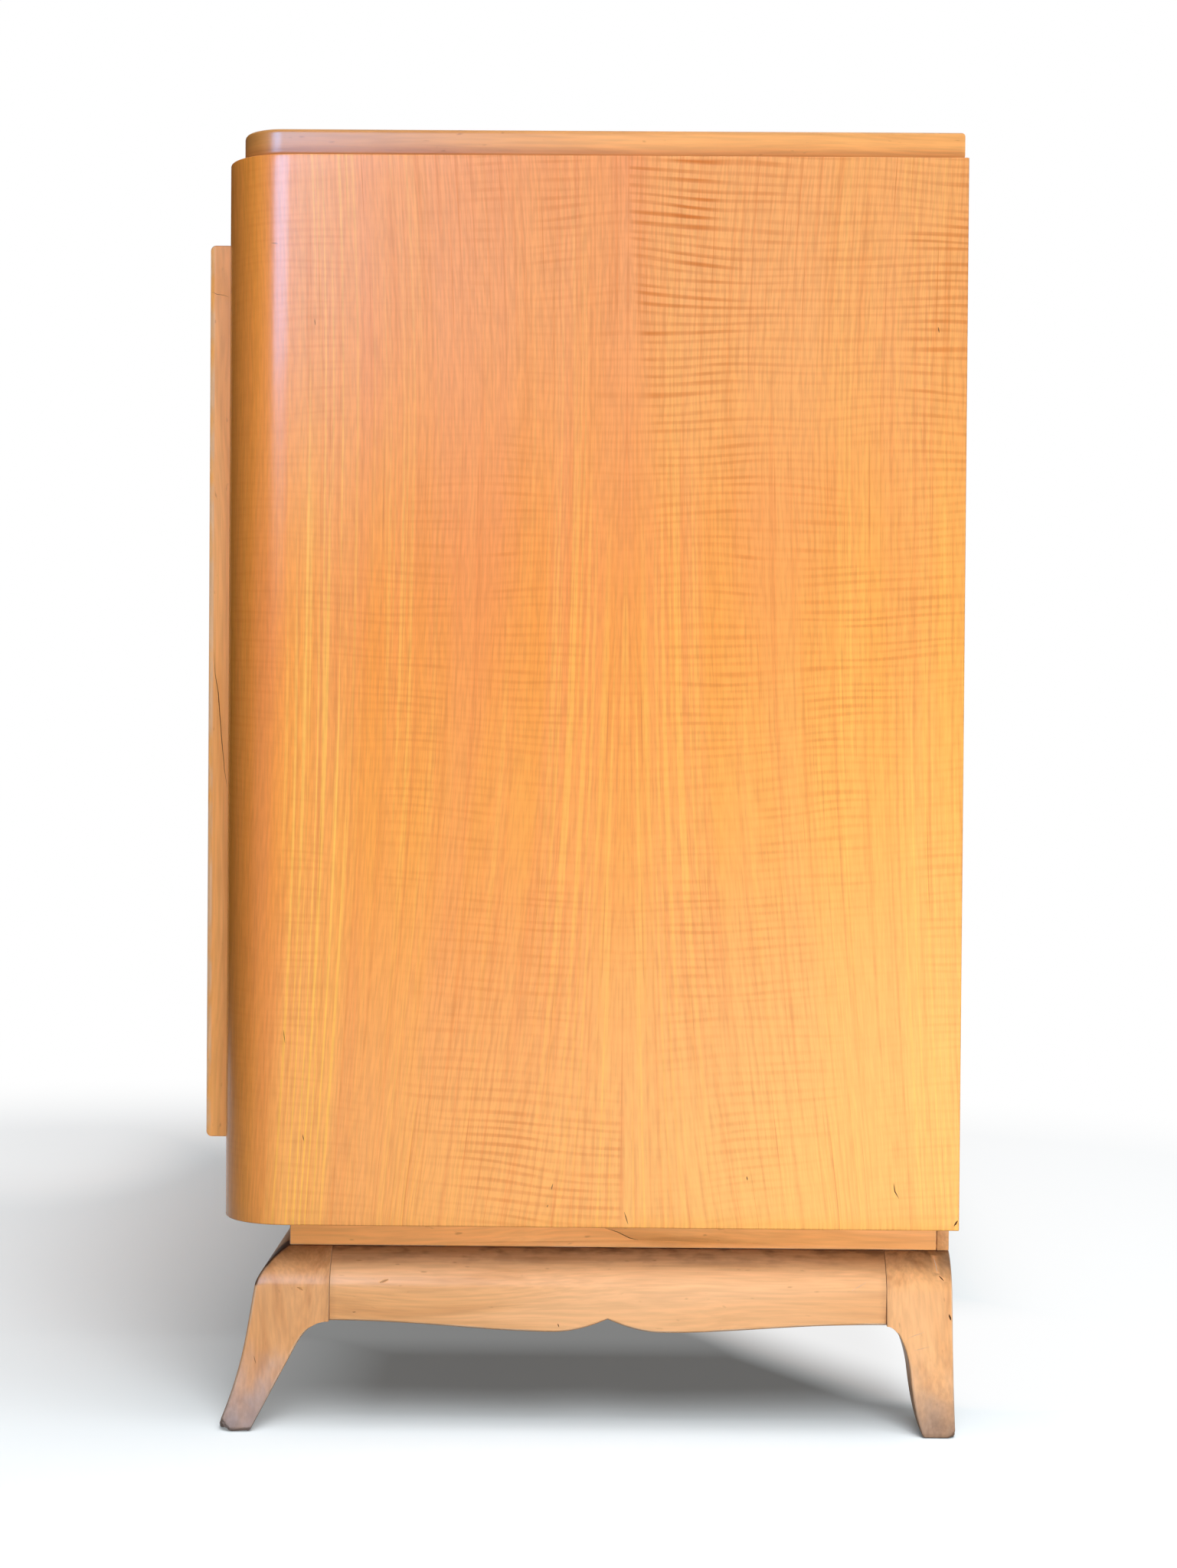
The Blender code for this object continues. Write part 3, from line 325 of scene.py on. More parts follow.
# Plain beech, planed and left bare: matt, pinkish, with short dark flecks along the grain
# Birch ply, sanded and bare: paler, broad soft figure, plies show where the sheet is cut
boardLooks = {
    "plainBeech": {
        "base": "#C79A6E", "pale": "#D6AE84", "dark": "#9C7049", "plies": 0.0,
        "shine": {"Roughness": 0.58, "IOR": 1.45, "Specular IOR Level": 0.35},
        "relief": {"Strength": 0.15, "Distance": 0.0004},
        "streaks": {"broad": (42, 30, 380, 3.7, 1.0, 0.35, 0.65, 0.0, 1.0),
                    "rings": (5, 8, 160, 13.9, 2.0, 0.48, 0.78, 0.0, 0.5),
                    "fleck": (0.9, 0.9, 5.5, 33.1, 0.0, 0.66, 0.80, 0.0, 0.45),
                    "fine": (1.6, 1.6, 30, 47.9, 1.0, 0.25, 0.75, 0.94, 1.05)},
    },
    "birchPly": {
        "base": "#CFAE80", "pale": "#DDC097", "dark": "#9A7850", "plies": 0.55,
        "shine": {"Roughness": 0.62, "IOR": 1.45, "Specular IOR Level": 0.3},
        "relief": {"Strength": 0.15, "Distance": 0.0004},
        "streaks": {"broad": (70, 0, 520, 7.3, 2.0, 0.35, 0.65, 0.0, 1.0),
                    "rings": (16, 0, 330, 19.1, 2.0, 0.48, 0.78, 0.0, 0.5),
                    "fleck": (1.6, 0, 7, 39.7, 0.0, 0.66, 0.80, 0.0, 0.18),
                    "fine": (2.0, 0, 40, 53.3, 1.0, 0.25, 0.75, 0.94, 1.05)},
    },
}
plyThickness = 0.0016    # of one ply


def boardWood(name, look):
    material, tree, shader = startMaterial(name, look["shine"])
    grain = addNode(tree, 'Attribute', {'attribute_name': "grain"}, {})['Vector']
    noises, shares = grainStreaks(tree, grain, look["streaks"])
    layers = [("broad", "pale"), ("rings", "dark"), ("fleck", "dark")]
    if look["plies"]:
        through = addNode(tree, 'SeparateXYZ', {}, (grain,))[1]
        turn = addNode(tree, 'Math', {'operation': 'PINGPONG'}, (through, plyThickness))[0]
        shares["plies"] = addNode(tree, 'MapRange', smooth, (
            turn, plyThickness / 2.4, plyThickness / 1.7, 0.0, look["plies"]))[0]
        layers.append(("plies", "dark"))
    finishWood(tree, shader, look, noises, shares, "base", layers)
    return material


# Old cracks hold dark dirt; a fresh scuff shows bare pale wood. Both are matt
markShine = {"Roughness": 0.85, "IOR": 1.45, "Specular IOR Level": 0.1}
markLooks = {"oldCrack": ("#5C3B25", "#7D5639"), "bareScuff": ("#E6D3C0", "#CDB49D")}


def markedWood(name):
    material, tree, shader = startMaterial(name, markShine)
    place = addNode(tree, 'TexCoord', {}, {})['Object']
    dust = grainStreaks(tree, place, {"dust": (1.5, 1.5, 1.5, 5.9, 1.0)})[0]["dust"]
    base, dusty = (linear(tint) for tint in markLooks[name])
    colour = addNode(tree, 'Mix', tinted, {0: dust, 6: base, 7: dusty})[2]
    tree.links.new(colour, shader.inputs['Base Color'])
    return material


veneer = figuredVeneer(veneerLook)
solid = solidSycamore("solidSycamore", solidLook)
rearSolid = solidSycamore("rearSycamore", rearLook)
apronWood = solidSycamore("apronSycamore", apronLook)
polished = solidSycamore("polishedSycamore", polishedLook)
frameWood = solidSycamore("frameSycamore", frameLook)
lipping = solidSycamore("lippingSycamore", lippingLook)
crack, scuff = markedWood("oldCrack"), markedWood("bareScuff")
beech, ply = (boardWood(name, look) for name, look in boardLooks.items())


# Meshes and pieces

weld = 0.000004    # points closer than this become one


def cubic(start, startHandle, endHandle, end, steps):
    t = np.linspace(0, 1, steps + 1)[:, None]
    a, b, c, d = (np.array(p, float) for p in (start, startHandle, endHandle, end))
    return (1 - t) ** 3 * a + 3 * (1 - t) ** 2 * t * b + 3 * (1 - t) * t ** 2 * c + t ** 3 * d


def shareCurve(start, end, startShare, endShare, steps=20):
    # Curve whose handles are shares of the width and height that it covers
    start, end = np.array(start, float), np.array(end, float)
    return cubic(start, start + (end - start) * startShare, start + (end - start) * endShare, end, steps)


def roundOver(radius, steps):
    # Quarter round from one face to the next, as (distance in from the first, from the second)
    turn = np.radians(np.linspace(0, 90, steps + 1))
    return np.column_stack((radius * (1 - np.cos(turn)), radius * (1 - np.sin(turn))))


def edgeLevels(low, high, lowerEdge, upperEdge, steps):
    # Heights and insets of a board's rounded lower edge, and of its upper one
    return ([(low + up, inset) for inset, up in roundOver(lowerEdge, steps)[::-1]],
            [(high - down, inset) for inset, down in roundOver(upperEdge, steps)])


def tidyMesh(mesh, sharpDegrees=35):
    shape = bmesh.new()
    shape.from_mesh(mesh)
    bmesh.ops.remove_doubles(shape, verts=shape.verts, dist=weld)
    bmesh.ops.dissolve_degenerate(shape, dist=weld, edges=shape.edges)
    bmesh.ops.recalc_face_normals(shape, faces=shape.faces)
    shape.to_mesh(mesh)
    shape.free()
    mesh.shade_smooth()
    mesh.set_sharp_from_angle(angle=math.radians(sharpDegrees))
    return mesh


def meshFromRings(name, rings, wear=None, sharpDegrees=35, soil=None):
    # Skin over a stack of rings with equal counts, closed at both ends
    rings = np.array(rings, float)
    points = rings.reshape(-1, 3)
    here = np.arange(len(points)).reshape(rings.shape[:2])
    after = np.roll(here, -1, axis=1)
    faces = np.stack((here[:-1], after[:-1], after[1:], here[1:]), axis=-1).reshape(-1, 4).tolist()
    faces += [here[0, ::-1].tolist(), here[-1].tolist()]
    mesh = bpy.data.meshes.new(name)
    mesh.from_pydata(points.tolist(), [], faces)
    for word, values in (("wear", wear), ("soil", soil and soil(points))):
        if values is not None:
            layer = mesh.attributes.new(word, 'FLOAT', 'POINT')
            layer.data.foreach_set("value", np.array(values, np.float32).ravel())
    return tidyMesh(mesh, sharpDegrees)


def softenedMesh(node, radius, picks=None):
    # The node's own solid with its arrises rounded
    shape = bmesh.new()
    shape.from_mesh(nodes[node].data)
    bmesh.ops.remove_doubles(shape, verts=shape.verts, dist=weld * 5)
    bmesh.ops.dissolve_limit(shape, angle_limit=math.radians(0.5), verts=shape.verts, edges=shape.edges)
    edges = [e for e in shape.edges if len(e.link_faces) == 2 and e.calc_face_angle(0) > math.radians(30)
             and (picks is None or picks(*[v.co for v in e.verts]))]
    layer = shape.verts.layers.float.new("wear")
    made = bmesh.ops.bevel(shape, geom=edges, offset=radius, offset_type='OFFSET', segments=3, profile=0.5,
                           affect='EDGES', clamp_overlap=True)
    rounded = set(made["faces"])
    for vert in made["verts"]:
        if all(face in rounded for face in vert.link_faces):
            vert[layer] = 1.0
    mesh = bpy.data.meshes.new(node)
    shape.to_mesh(mesh)
    shape.free()
    return tidyMesh(mesh)


grainOrder = {'X': (1, 2, 0), 'Y': (0, 2, 1), 'Z': (0, 1, 2)}    # axes across, through and along the grain


def grainAlong(axis, shift):
    # The shift gives each board its own figure
    return lambda points: points[:, grainOrder[axis]] + np.array((0.0, shift, shift * 1.7))


# Marks on the right side and the base, in millimetres as (y, z) seen from the right: kind, width, depth, run
marks = {
    "side_right": (
        ("crack", 1.0, 0.5, ((220.8, 168.0), (221.7, 162.2), (224.4, 157.7))),
        ("crack", 1.1, 0.5, ((124.6, 171.4), (125.2, 168.8))),
        ("crack", 1.0, 0.4, ((244.6, 727.2), (245.4, 723.6))),
        ("crack", 0.8, 0.3, ((-162.0, 730.2), (-161.4, 725.8))),
        ("crack", 0.7, 0.3, ((-190.6, 779.6), (-186.0, 779.0))),
        ("crack", 1.0, 0.4, ((44.5, 147.4), (47.2, 139.2))),
        ("crack", 0.8, 0.3, ((-179.8, 265.2), (-178.6, 256.4))),
        ("crack", 0.9, 0.4, ((-166.8, 196.4), (-165.8, 192.2))),
        ("crack", 0.9, 0.4, ((-2.4, 165.4), (-3.4, 161.2))),
        ("crack", 0.9, 0.4, ((-5.6, 151.6), (-6.0, 149.9))),
        ("crack", 1.5, 0.6, ((260.6, 139.8), (262.9, 143.6))),
    ),
    "apron_right": (
        ("crack", 1.0, 0.5, ((1.0, 68.6), (2.0, 66.2))),
        ("dent", 2.6, 0.7, ((-117.4, 94.6), (-112.0, 96.8))),
        ("crack", 0.7, 0.4, ((-135.6, 74.9), (-133.2, 75.1))),
        ("scuff", 0.5, 0.2, ((196.0, 92.0), (206.0, 97.6))),
    ),
    "leg_front_right": (
        ("dent", 2.4, 0.8, ((-172.6, 91.2), (-168.6, 89.2))),
        ("crack", 0.6, 0.3, ((-200.0, 47.0), (-198.4, 42.0))),
    ),
    "leg_rear_right": (
        ("crack", 1.2, 0.6, ((254.3, 101.9), (257.6, 98.7))),
        ("crack", 1.6, 0.8, ((260.4, 77.6), (261.8, 73.8))),
        ("scuff", 1.0, 0.3, ((252.0, 113.0), (253.0, 107.5), (253.6, 103.4))),
        ("scuff", 0.6, 0.2, ((233.0, 62.0), (244.0, 66.0))),
        ("scuff", 0.5, 0.2, ((237.0, 54.0), (249.0, 57.0))),
    ),
    "plinth_right": (("crack", 0.9, 0.4, ((32.0, 128.6), (40.3, 126.1), (48.5, 122.1), (54.7, 120.6))),),
    "frame_stile_right": (
        ("crack", 0.7, 0.5, ((-235.2, 516.5), (-234.1, 499.5), (-231.9, 486.6), (-229.7, 458.2),
                             (-227.5, 434.9), (-225.4, 422.0))),
        ("crack", 0.45, 0.3, ((-237.8, 757.0), (-234.4, 755.2), (-229.7, 754.6), (-226.0, 753.2))),
    ),
}
# Between two points of a run the blade has these steps; its ends are this share of its width
bladeShape = {"steps": (0.0, 0.34, 0.67), "point": 0.15, "flare": 1.3, "proud": 0.0004}


def markBlade(surface, width, depth, run):
    # Blade with a V section along a mark, pointed at both ends and laid on the surface seen from the right
    points = []
    for start, end in zip(run[:-1], run[1:]):
        for share in bladeShape["steps"]:
            points.append([(a + (b - a) * share) / 1000 for a, b in zip(start, end)])
    points.append([a / 1000 for a in run[-1]])
    last, point = len(points) - 1, bladeShape["point"]
    rings = []
    for at, (y, z) in enumerate(points):
        place, normal = surface.ray_cast(Vector((1.0, y, z)), Vector((-1, 0, 0)))[:2]
        ahead, behind = points[min(at + 1, last)], points[max(at - 1, 0)]
        along = Vector((0, ahead[0] - behind[0], ahead[1] - behind[1]))
        share = point + (1 - point) * math.sin(math.pi * (at + point) / (last + 2 * point)) ** 0.7
        across = normal.cross(along).normalized() * (width / 2000) * share * bladeShape["flare"]
        lifted = normal * bladeShape["proud"]
        tip = place - normal * (depth / 1000 * share)
        rings.append([place + across + lifted, place - across + lifted, tip])
    return meshFromRings("blade", rings, None, 20)


def cutMarks(node, mesh, wood):
    # Cuts a piece's marks into its mesh; each cut keeps the look of its kind
    mesh.materials.append(wood)
    target = bpy.data.objects.new("target", mesh)
    shape = bmesh.new()
    shape.from_mesh(mesh)
    surface = BVHTree.FromBMesh(shape)
    shape.free()
    cutters = []
    for kind, width, depth, run in marks[node]:
        blade = markBlade(surface, width, depth, run)
        blade.materials.append({"crack": crack, "scuff": scuff, "dent": wood}[kind])
        cutters.append(bpy.data.objects.new("blade", blade))
        cut = target.modifiers.new("mark", 'BOOLEAN')
        cut.object = cutters[-1]
        cut.material_mode = 'TRANSFER'
    for item in cutters + [target]:
        scene.collection.objects.link(item)
    marked = bpy.data.meshes.new_from_object(target.evaluated_get(bpy.context.evaluated_depsgraph_get()))
    for item in cutters + [target]:
        used = item.data
        bpy.data.objects.remove(item)
        bpy.data.meshes.remove(used)
    marked.name = node
    return tidyMesh(marked, 40)


def addPiece(name, mesh, materials, grain, body):
    piece = bpy.data.objects.new(name, mesh)
    scene.collection.objects.link(piece)
    if not mesh.materials:
        for material in materials:
            mesh.materials.append(material)
    points = np.empty(len(mesh.vertices) * 3, np.float32)
    mesh.vertices.foreach_get("co", points)
    places = np.ascontiguousarray(grain(points.reshape(-1, 3)), np.float32)
    mesh.attributes.new("grain", 'FLOAT_VECTOR', 'POINT').data.foreach_set("vector", places.ravel())
    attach(piece, body)
    return piece


def finishPiece(node, mesh, materials, grain):
    # The piece that stands in for a node of the frame
    if node in marks:
        mesh = cutMarks(node, mesh, materials[0])
    words = node.split("_")
    name = words[0] + "".join(word.capitalize() for word in words[1:])
    piece = addPiece(name, mesh, materials, grain, nodes[node]["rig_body"])
    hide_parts(node)
    return piece


# Base: swept legs and scalloped aprons

baseShape = {
    "shoulderWidth": 0.021, "shoulderDrop": 0.0235, "apronHeight": 0.046, "apronThickness": 0.043,
    "block": 0.050, "rearDepth": 0.0435, "toeSplay": 0.021, "toeHeight": 0.003, "footLength": 0.021,
    "filletWidth": 0.021, "filletHeight": 0.0145, "rearAnkle": (0.0285, 0.040),
    "lobeDrop": 0.0065, "lobeReach": 0.037, "cuspRise": 0.0022,
    "arris": 0.0022, "jointArris": 0.0003, "footArris": 0.0012,
    "apronArris": 0.0018, "apronBackArris": 0.0010,
    "jointEnd": 0.004,                     # metres below the aprons where a leg's joint faces end
    "chipLevels": (0.002, 0.012, 6),       # extra rings that let a foot's broken corners show
}
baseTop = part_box("leg_front_right")[1].z
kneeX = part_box("leg_front_right")[1].x - baseShape["toeSplay"]
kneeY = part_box("leg_front_right")[0].y + baseShape["toeSplay"]
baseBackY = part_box("leg_rear_right")[1].y
kneeZ = baseTop - baseShape["shoulderDrop"]
apronZ = baseTop - baseShape["apronHeight"]
jointZ = apronZ - baseShape["jointEnd"]
shoulderCurve = shareCurve((baseShape["shoulderWidth"], baseTop), (0, kneeZ), (0.33, 0.07), (0.93, 0.62), 24)


def sweptProfile():
    # Outer and inner edge of a swept leg, as (inset from the knee face, height) with rising heights
    shape = baseShape
    toe = (-shape["toeSplay"], shape["toeHeight"])
    calf = (shape["block"] - shape["filletWidth"], apronZ - shape["filletHeight"])
    shin = shareCurve((0, kneeZ), toe, (0.23, 0.33), (0.28, 0.58), 30)
    outer = np.vstack((shoulderCurve, shin[1:], [(toe[0], 0)]))[::-1]
    fillet = shareCurve(calf, (shape["block"], apronZ), (0.22, 0.55), (0.50, 1.00))
    inner = np.vstack(([(shape["footLength"] - shape["toeSplay"], 0)], fillet, [(shape["block"], baseTop)]))
    return outer, inner


def rearProfile():
    # Front edge of a straight-backed rear leg, as (distance in front of the base's back, height)
    shape = baseShape
    calf = shareCurve((shape["footLength"], 0), shape["rearAnkle"], (0.65, 0.30), (0.85, 0.62))
    knee = shareCurve(shape["rearAnkle"], (shape["rearDepth"], apronZ), (0.10, 0.50), (0.50, 1.00))
    return np.vstack((calf, knee[1:], [(shape["rearDepth"], baseTop)]))


def roundedRing(xs, ys, radii, arcSteps=5, flatSteps=7):
    # Rectangle with four round corners, anticlockwise from the low corner, and where its arrises wear
    arcs, points, wear = [], [], []
    corners = ((0, 0, 180), (1, 0, 270), (1, 1, 0), (0, 1, 90))    # end of each side, first angle of the arc
    for (atX, atY, first), radius in zip(corners, radii):
        turn = np.radians(np.linspace(first, first + 90, arcSteps + 1))
        middleX, middleY = xs[atX] + (1 - 2 * atX) * radius, ys[atY] + (1 - 2 * atY) * radius
        arcs.append(np.stack((middleX + radius * np.cos(turn), middleY + radius * np.sin(turn)), 1))
    for at in range(4):
        start, end = arcs[at][-1], arcs[(at + 1) % 4][0]
        points += list(arcs[at]) + [start + (end - start) * step / flatSteps for step in range(1, flatSteps)]
        wear += [0.0] + [1.0] * (arcSteps - 1) + [0.0] * flatSteps
    return np.array(points), wear


# Broken corners of the feet: a point on the break and the direction that is missing
footChips = {
    "leg_front_right": (((0.5460, -0.2170, 0.0040), (0.55, -0.72, -0.42)),
                        ((0.5478, -0.206, 0.0012), (0.75, 0.1, -0.65))),
    "leg_rear_right": (((0.5482, 0.2610, 0.0030), (0.6, 0.6, -0.53)),),
    "leg_front_left": (((-0.5476, -0.2195, 0.0030), (-0.6, -0.6, -0.53)),),
    "leg_rear_left": (((-0.5486, 0.2440, 0.0020), (-0.7, -0.35, -0.62)),),
}


def breakCorners(points, chips):
    seeded = np.random.default_rng(4)
    for place, missing in chips:
        missing = np.array(missing) / np.linalg.norm(missing)
        over = (points - np.array(place)) @ missing
        rough = seeded.uniform(0.75, 1.0, len(points))
        points = points - np.outer(np.maximum(over, 0) * rough, missing)
    return points


# Darkening of the base: soil on the feet, at the joints and at the rear corners; under the plinth, soil and
# painted shade;
# on the front shoulders, painted shade: metres that it reaches, and its share; where there are two shares, of
# the front and the rear
soilAndShadeShape = {
    "underPlinth": 0.013, "underShares": (0.64, 0.92), "foot": 0.034, "footShares": (0.50, 0.66),
    "joint": 0.0016, "jointShare": 0.22, "rearCorner": 0.016, "rearShare": 0.75,
    "shoulder": 0.003, "shoulderRun": 0.030, "shoulderLeast": 0.50, "shoulderShare": 1.3,
}


def baseSoilAndShade(points):
    shape = soilAndShadeShape
    x, y, z = np.abs(points[:, 0]), points[:, 1], points[:, 2]
    jointFront, jointRear = kneeY + baseShape["block"], baseBackY - baseShape["rearDepth"]
    underShare = np.where(y > jointFront, shape["underShares"][1], shape["underShares"][0])
    # under the plinth: partly soil, partly painted shade under the overhang
    under = np.clip((z - baseTop) / shape["underPlinth"] + 1, 0, 1) ** 1.1 * underShare
    footShare = np.where(y > 0, shape["footShares"][1], shape["footShares"][0])
    foot = np.clip(1 - z / shape["foot"], 0, 1) ** 0.8 * footShare
    gap = np.minimum(np.abs(y - jointFront), np.abs(y - jointRear))
    joint = np.clip(1 - gap / shape["joint"], 0, 1) * (z > jointZ) * shape["jointShare"]
    corner = np.sqrt((y - baseBackY) ** 2 + (z - baseTop) ** 2)
    rear = np.clip(1.4 - corner / shape["rearCorner"], 0, 1) * shape["rearShare"]
    # front shoulders: painted shade under the body
    inset = np.interp(z, shoulderCurve[::-1, 1], shoulderCurve[::-1, 0])
    behind, inside = y - kneeY - inset, kneeX - inset - x
    shoulder = np.clip(1 - behind / shape["shoulder"], 0, 1) * (z > kneeZ + 0.001) * shape["shoulderShare"]
    shoulder = shoulder * np.clip(1.6 - inside / shape["shoulderRun"], shape["shoulderLeast"], 1)
    return np.max((under, foot, joint, rear, shoulder), axis=0)


def addLegs():
    shape = baseShape
    outer, inner = sweptProfile()
    rear = rearProfile()
    arris, foot = shape["arris"], shape["footArris"]
    heights = np.concatenate((outer[:, 1], inner[:, 1], rear[:, 1], roundOver(foot, 3)[:, 0],
                              np.linspace(*shape["chipLevels"])))
    for end, wood in (("front", solid), ("rear", rearSolid)):
        for hand, side in (("right", 1), ("left", -1)):
            node = "leg_{}_{}".format(end, hand)
            rings, wear = [], []
            for z in np.unique(np.round(heights, 5)):
                lift = 0.0 if z >= foot else foot - math.sqrt(foot ** 2 - (foot - z) ** 2)
                outside, inside, deep = (
                    np.interp(z, edge[:, 1], edge[:, 0]) for edge in (outer, inner, rear))
                joint, back = (arris * 0.8, arris * 0.5) if z < jointZ else (shape["jointArris"],) * 2
                xs = (kneeX - inside + lift, kneeX - outside - lift)
                ys, radii = (kneeY + outside + lift, kneeY + inside - lift), (joint, arris, joint, back)
                if end == "rear":
                    ys = (baseBackY - deep + lift, baseBackY - lift)
                    radii = (joint, joint, arris * 0.5, arris * 0.5)
                ring, worn = roundedRing(xs, ys, radii)
                rings.append(np.column_stack((ring * (side, 1), np.full(len(ring), z))))
                wear.append(worn)
            points = breakCorners(np.array(rings).reshape(-1, 3), footChips[node])
            mesh = meshFromRings(node, points.reshape(len(rings), -1, 3), wear, 40, baseSoilAndShade)
            finishPiece(node, mesh, [wood], grainAlong('Z', 0.31 * len(end) + 0.17 * side))


def apronRing(low):
    # Section of an apron down to its lower edge, as (inset from the knee face, height)
    front, back = baseShape["apronArris"], baseShape["apronThickness"]
    flatFace = [(0, kneeZ + (low + front - kneeZ) * share) for share in (0.25, 0.5, 0.75)]
    under = [(inset, low + up) for inset, up in roundOver(front, 5)]
    behind = [(back - inset, low + up) for up, inset in roundOver(baseShape["apronBackArris"], 5)]
    wear = [0.0] * (len(shoulderCurve) + 4) + [1.0] * 4 + [0.0] * 8
    return list(shoulderCurve) + flatFace + under + behind + [(back, baseTop)], wear


def lowerEdge(start, end):
    # Height of the scalloped lower edge at the stations along an apron
    shape = baseShape
    middle, run = (start + end) / 2, (end - start) / 2
    cusp, lobe = (0, apronZ + shape["cuspRise"]), (shape["lobeReach"], apronZ - shape["lobeDrop"])
    half = np.vstack((shareCurve(cusp, lobe, (0.26, 0.45), (0.57, 1.00), 26),
                      shareCurve(lobe, (run, apronZ), (0.32, 0.00), (0.57, 1.00), 40)[1:]))
    stations = np.concatenate((middle - half[:0:-1, 0], middle + half[:, 0]))
    return stations, np.concatenate((half[:0:-1, 1], half[:, 1]))


def addAprons():
    for node, side in (("apron_right", 1), ("apron_left", -1), ("apron_front", 0)):
        low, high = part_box(node)
        start, end = (low.y, high.y) if side else (low.x, high.x)
        rings, wear = [], []
        for station, height in zip(*lowerEdge(start, end)):
            section, worn = apronRing(height)
            if side:
                rings.append([(side * (kneeX - inset), station, z) for inset, z in section])
            else:
                rings.append([(station, kneeY + inset, z) for inset, z in section])
            wear.append(worn)
        mesh = meshFromRings(node, rings, wear, 40, baseSoilAndShade)
        finishPiece(node, mesh, [apronWood], grainAlong('Y' if side else 'X', 0.9 + 0.23 * side))


addLegs()
addAprons()
print("base: legs and aprons")


# Carcase: bent sides, top slab

carcaseShape = {"cornerRadius": 0.0445, "cornerSteps": 40, "innerRadius": 0.019, "thickness": 0.020,
                "returnX": 0.495, "rebateWidth": 0.010, "rebateDepth": 0.0103, "arris": 0.0010,
                "seamY": 0.0424, "levelShares": (0.02, 0.98, 25), "flatMargin": 0.020, "flatSteps": 20}
# The leaf lies a hair above the slab's own face, inside its rounded edge
slabShape = {"cornerRadius": 0.028, "edge": 0.003, "cornerSteps": 32, "lipping": 0.030,
             "leafThickness": 0.0006, "leafProud": 0.0001, "leafInset": 0.0004}


def developed(points, side, rise):
    # Place on the flat leaf before it was bent: across from the seam, and up
    radius = carcaseShape["cornerRadius"]
    middleX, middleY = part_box("side_right")[1].x - radius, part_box("side_right")[0].y + radius
    x, y = points[:, 0] * side, points[:, 1]
    turn = np.arctan2(np.maximum(middleY - y, 0), np.maximum(x - middleX, 1e-9))
    across = np.where(y >= middleY, y, middleY - radius * turn - np.maximum(middleX - x, 0) * (y < middleY))
    return np.column_stack((across - carcaseShape["seamY"], points[:, 0] * 0, points[:, 2] + rise))


def addSides():
    shape = carcaseShape
    radius, hollow = shape["cornerRadius"], shape["innerRadius"]
    thick, arris = shape["thickness"], shape["arris"]
    turn = np.linspace(0, math.pi / 2, shape["cornerSteps"] + 1)
    for node, side, rise in (("side_right", 1, 0.0), ("side_left", -1, 6.0)):
        low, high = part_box(node)
        sideX, frontY, backY = max(abs(low.x), abs(high.x)), low.y, high.y
        middleX, middleY = sideX - radius, frontY + radius
        hollowX, hollowY = sideX - thick - hollow, frontY + thick + hollow
        rebateX, rebateY = sideX - thick + shape["rebateWidth"], backY - shape["rebateDepth"]
        inner = [(shape["returnX"], frontY + thick)]
        inner += [(hollowX + hollow * math.cos(a), hollowY - hollow * math.sin(a)) for a in turn[::-1]]
        inner += [(sideX - thick, rebateY), (rebateX, rebateY), (rebateX, backY)]
        below, above = edgeLevels(low.z, high.z, arris, arris, 3)
        between = [(low.z + (high.z - low.z) * share, 0.0) for share in np.linspace(*shape["levelShares"])]
        margin = shape["flatMargin"]
        flat = np.linspace(backY - margin, middleY + margin, shape["flatSteps"])
        rings, wear = [], []
        for z, inset in below + between + above:
            bend = radius - inset
            outer = [(sideX - inset - sideways, backY - inward) for inward, sideways in roundOver(arris, 3)]
            outer += [(sideX - inset, y) for y in flat]
            outer += [(middleX + bend * math.cos(a), middleY - bend * math.sin(a)) for a in turn]
            outer += [(shape["returnX"], frontY + inset)]
            rings.append([(side * x, y, z) for x, y in outer + inner])
            wear.append([1.0 if inset else 0.0] * len(outer) + [0.0] * len(inner))
        mesh = meshFromRings(node, rings, wear, 40)
        finishPiece(node, mesh, [veneer], lambda points: developed(points, side, rise))


def addSlab():
    shape = slabShape
    low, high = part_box("top_slab")
    middleY = (low.y + high.y) / 2
    edge, thick, proud = shape["edge"], shape["leafThickness"], shape["leafProud"]

    def slabRings(levels):
        rings = []
        for z, inset in levels:
            halfWidth, frontY, backY = high.x - inset, low.y + inset, high.y - inset
            corner = roundOver(shape["cornerRadius"] - inset, shape["cornerSteps"])
            right = [(halfWidth - sideways, frontY + back, z) for sideways, back in corner]
            left = [(-x, y, z) for x, y, z in right[::-1]]
            rings.append([(halfWidth, backY, z)] + right + left + [(-halfWidth, backY, z)])
        return rings

    def lippingGrain(points):
        # The lipping's grain runs along each edge
        length = np.where(np.abs(points[:, 0]) > high.x - shape["lipping"], points[:, 1], points[:, 0])
        return np.column_stack((points[:, 2], points[:, 0] * 0 + 0.4, length + 2.0))

    def leafGrain(points):
        # Book-matched leaf with its grain along the length
        return np.column_stack((points[:, 1] - middleY, points[:, 0] * 0, points[:, 0] + 9.0))

    below, above = edgeLevels(low.z, high.z - proud, edge, edge, 6)
    finishPiece("top_slab", meshFromRings("top_slab", slabRings(below + above)), [lipping], lippingGrain)
    inset = edge + shape["leafInset"]
    rings = slabRings(((high.z - thick, inset), (high.z - proud, inset), (high.z, inset + proud)))
    addPiece("topVeneer", meshFromRings("topVeneer", rings), [veneer], leafGrain, "carcase")


addSides()
addSlab()
print("carcase: bent sides and top slab")


# Raised frame, mitred at its corners

frameShape = {"width": 0.030, "edgeRadius": 0.0040, "edgeSteps": 6, "lengthSteps": 12}


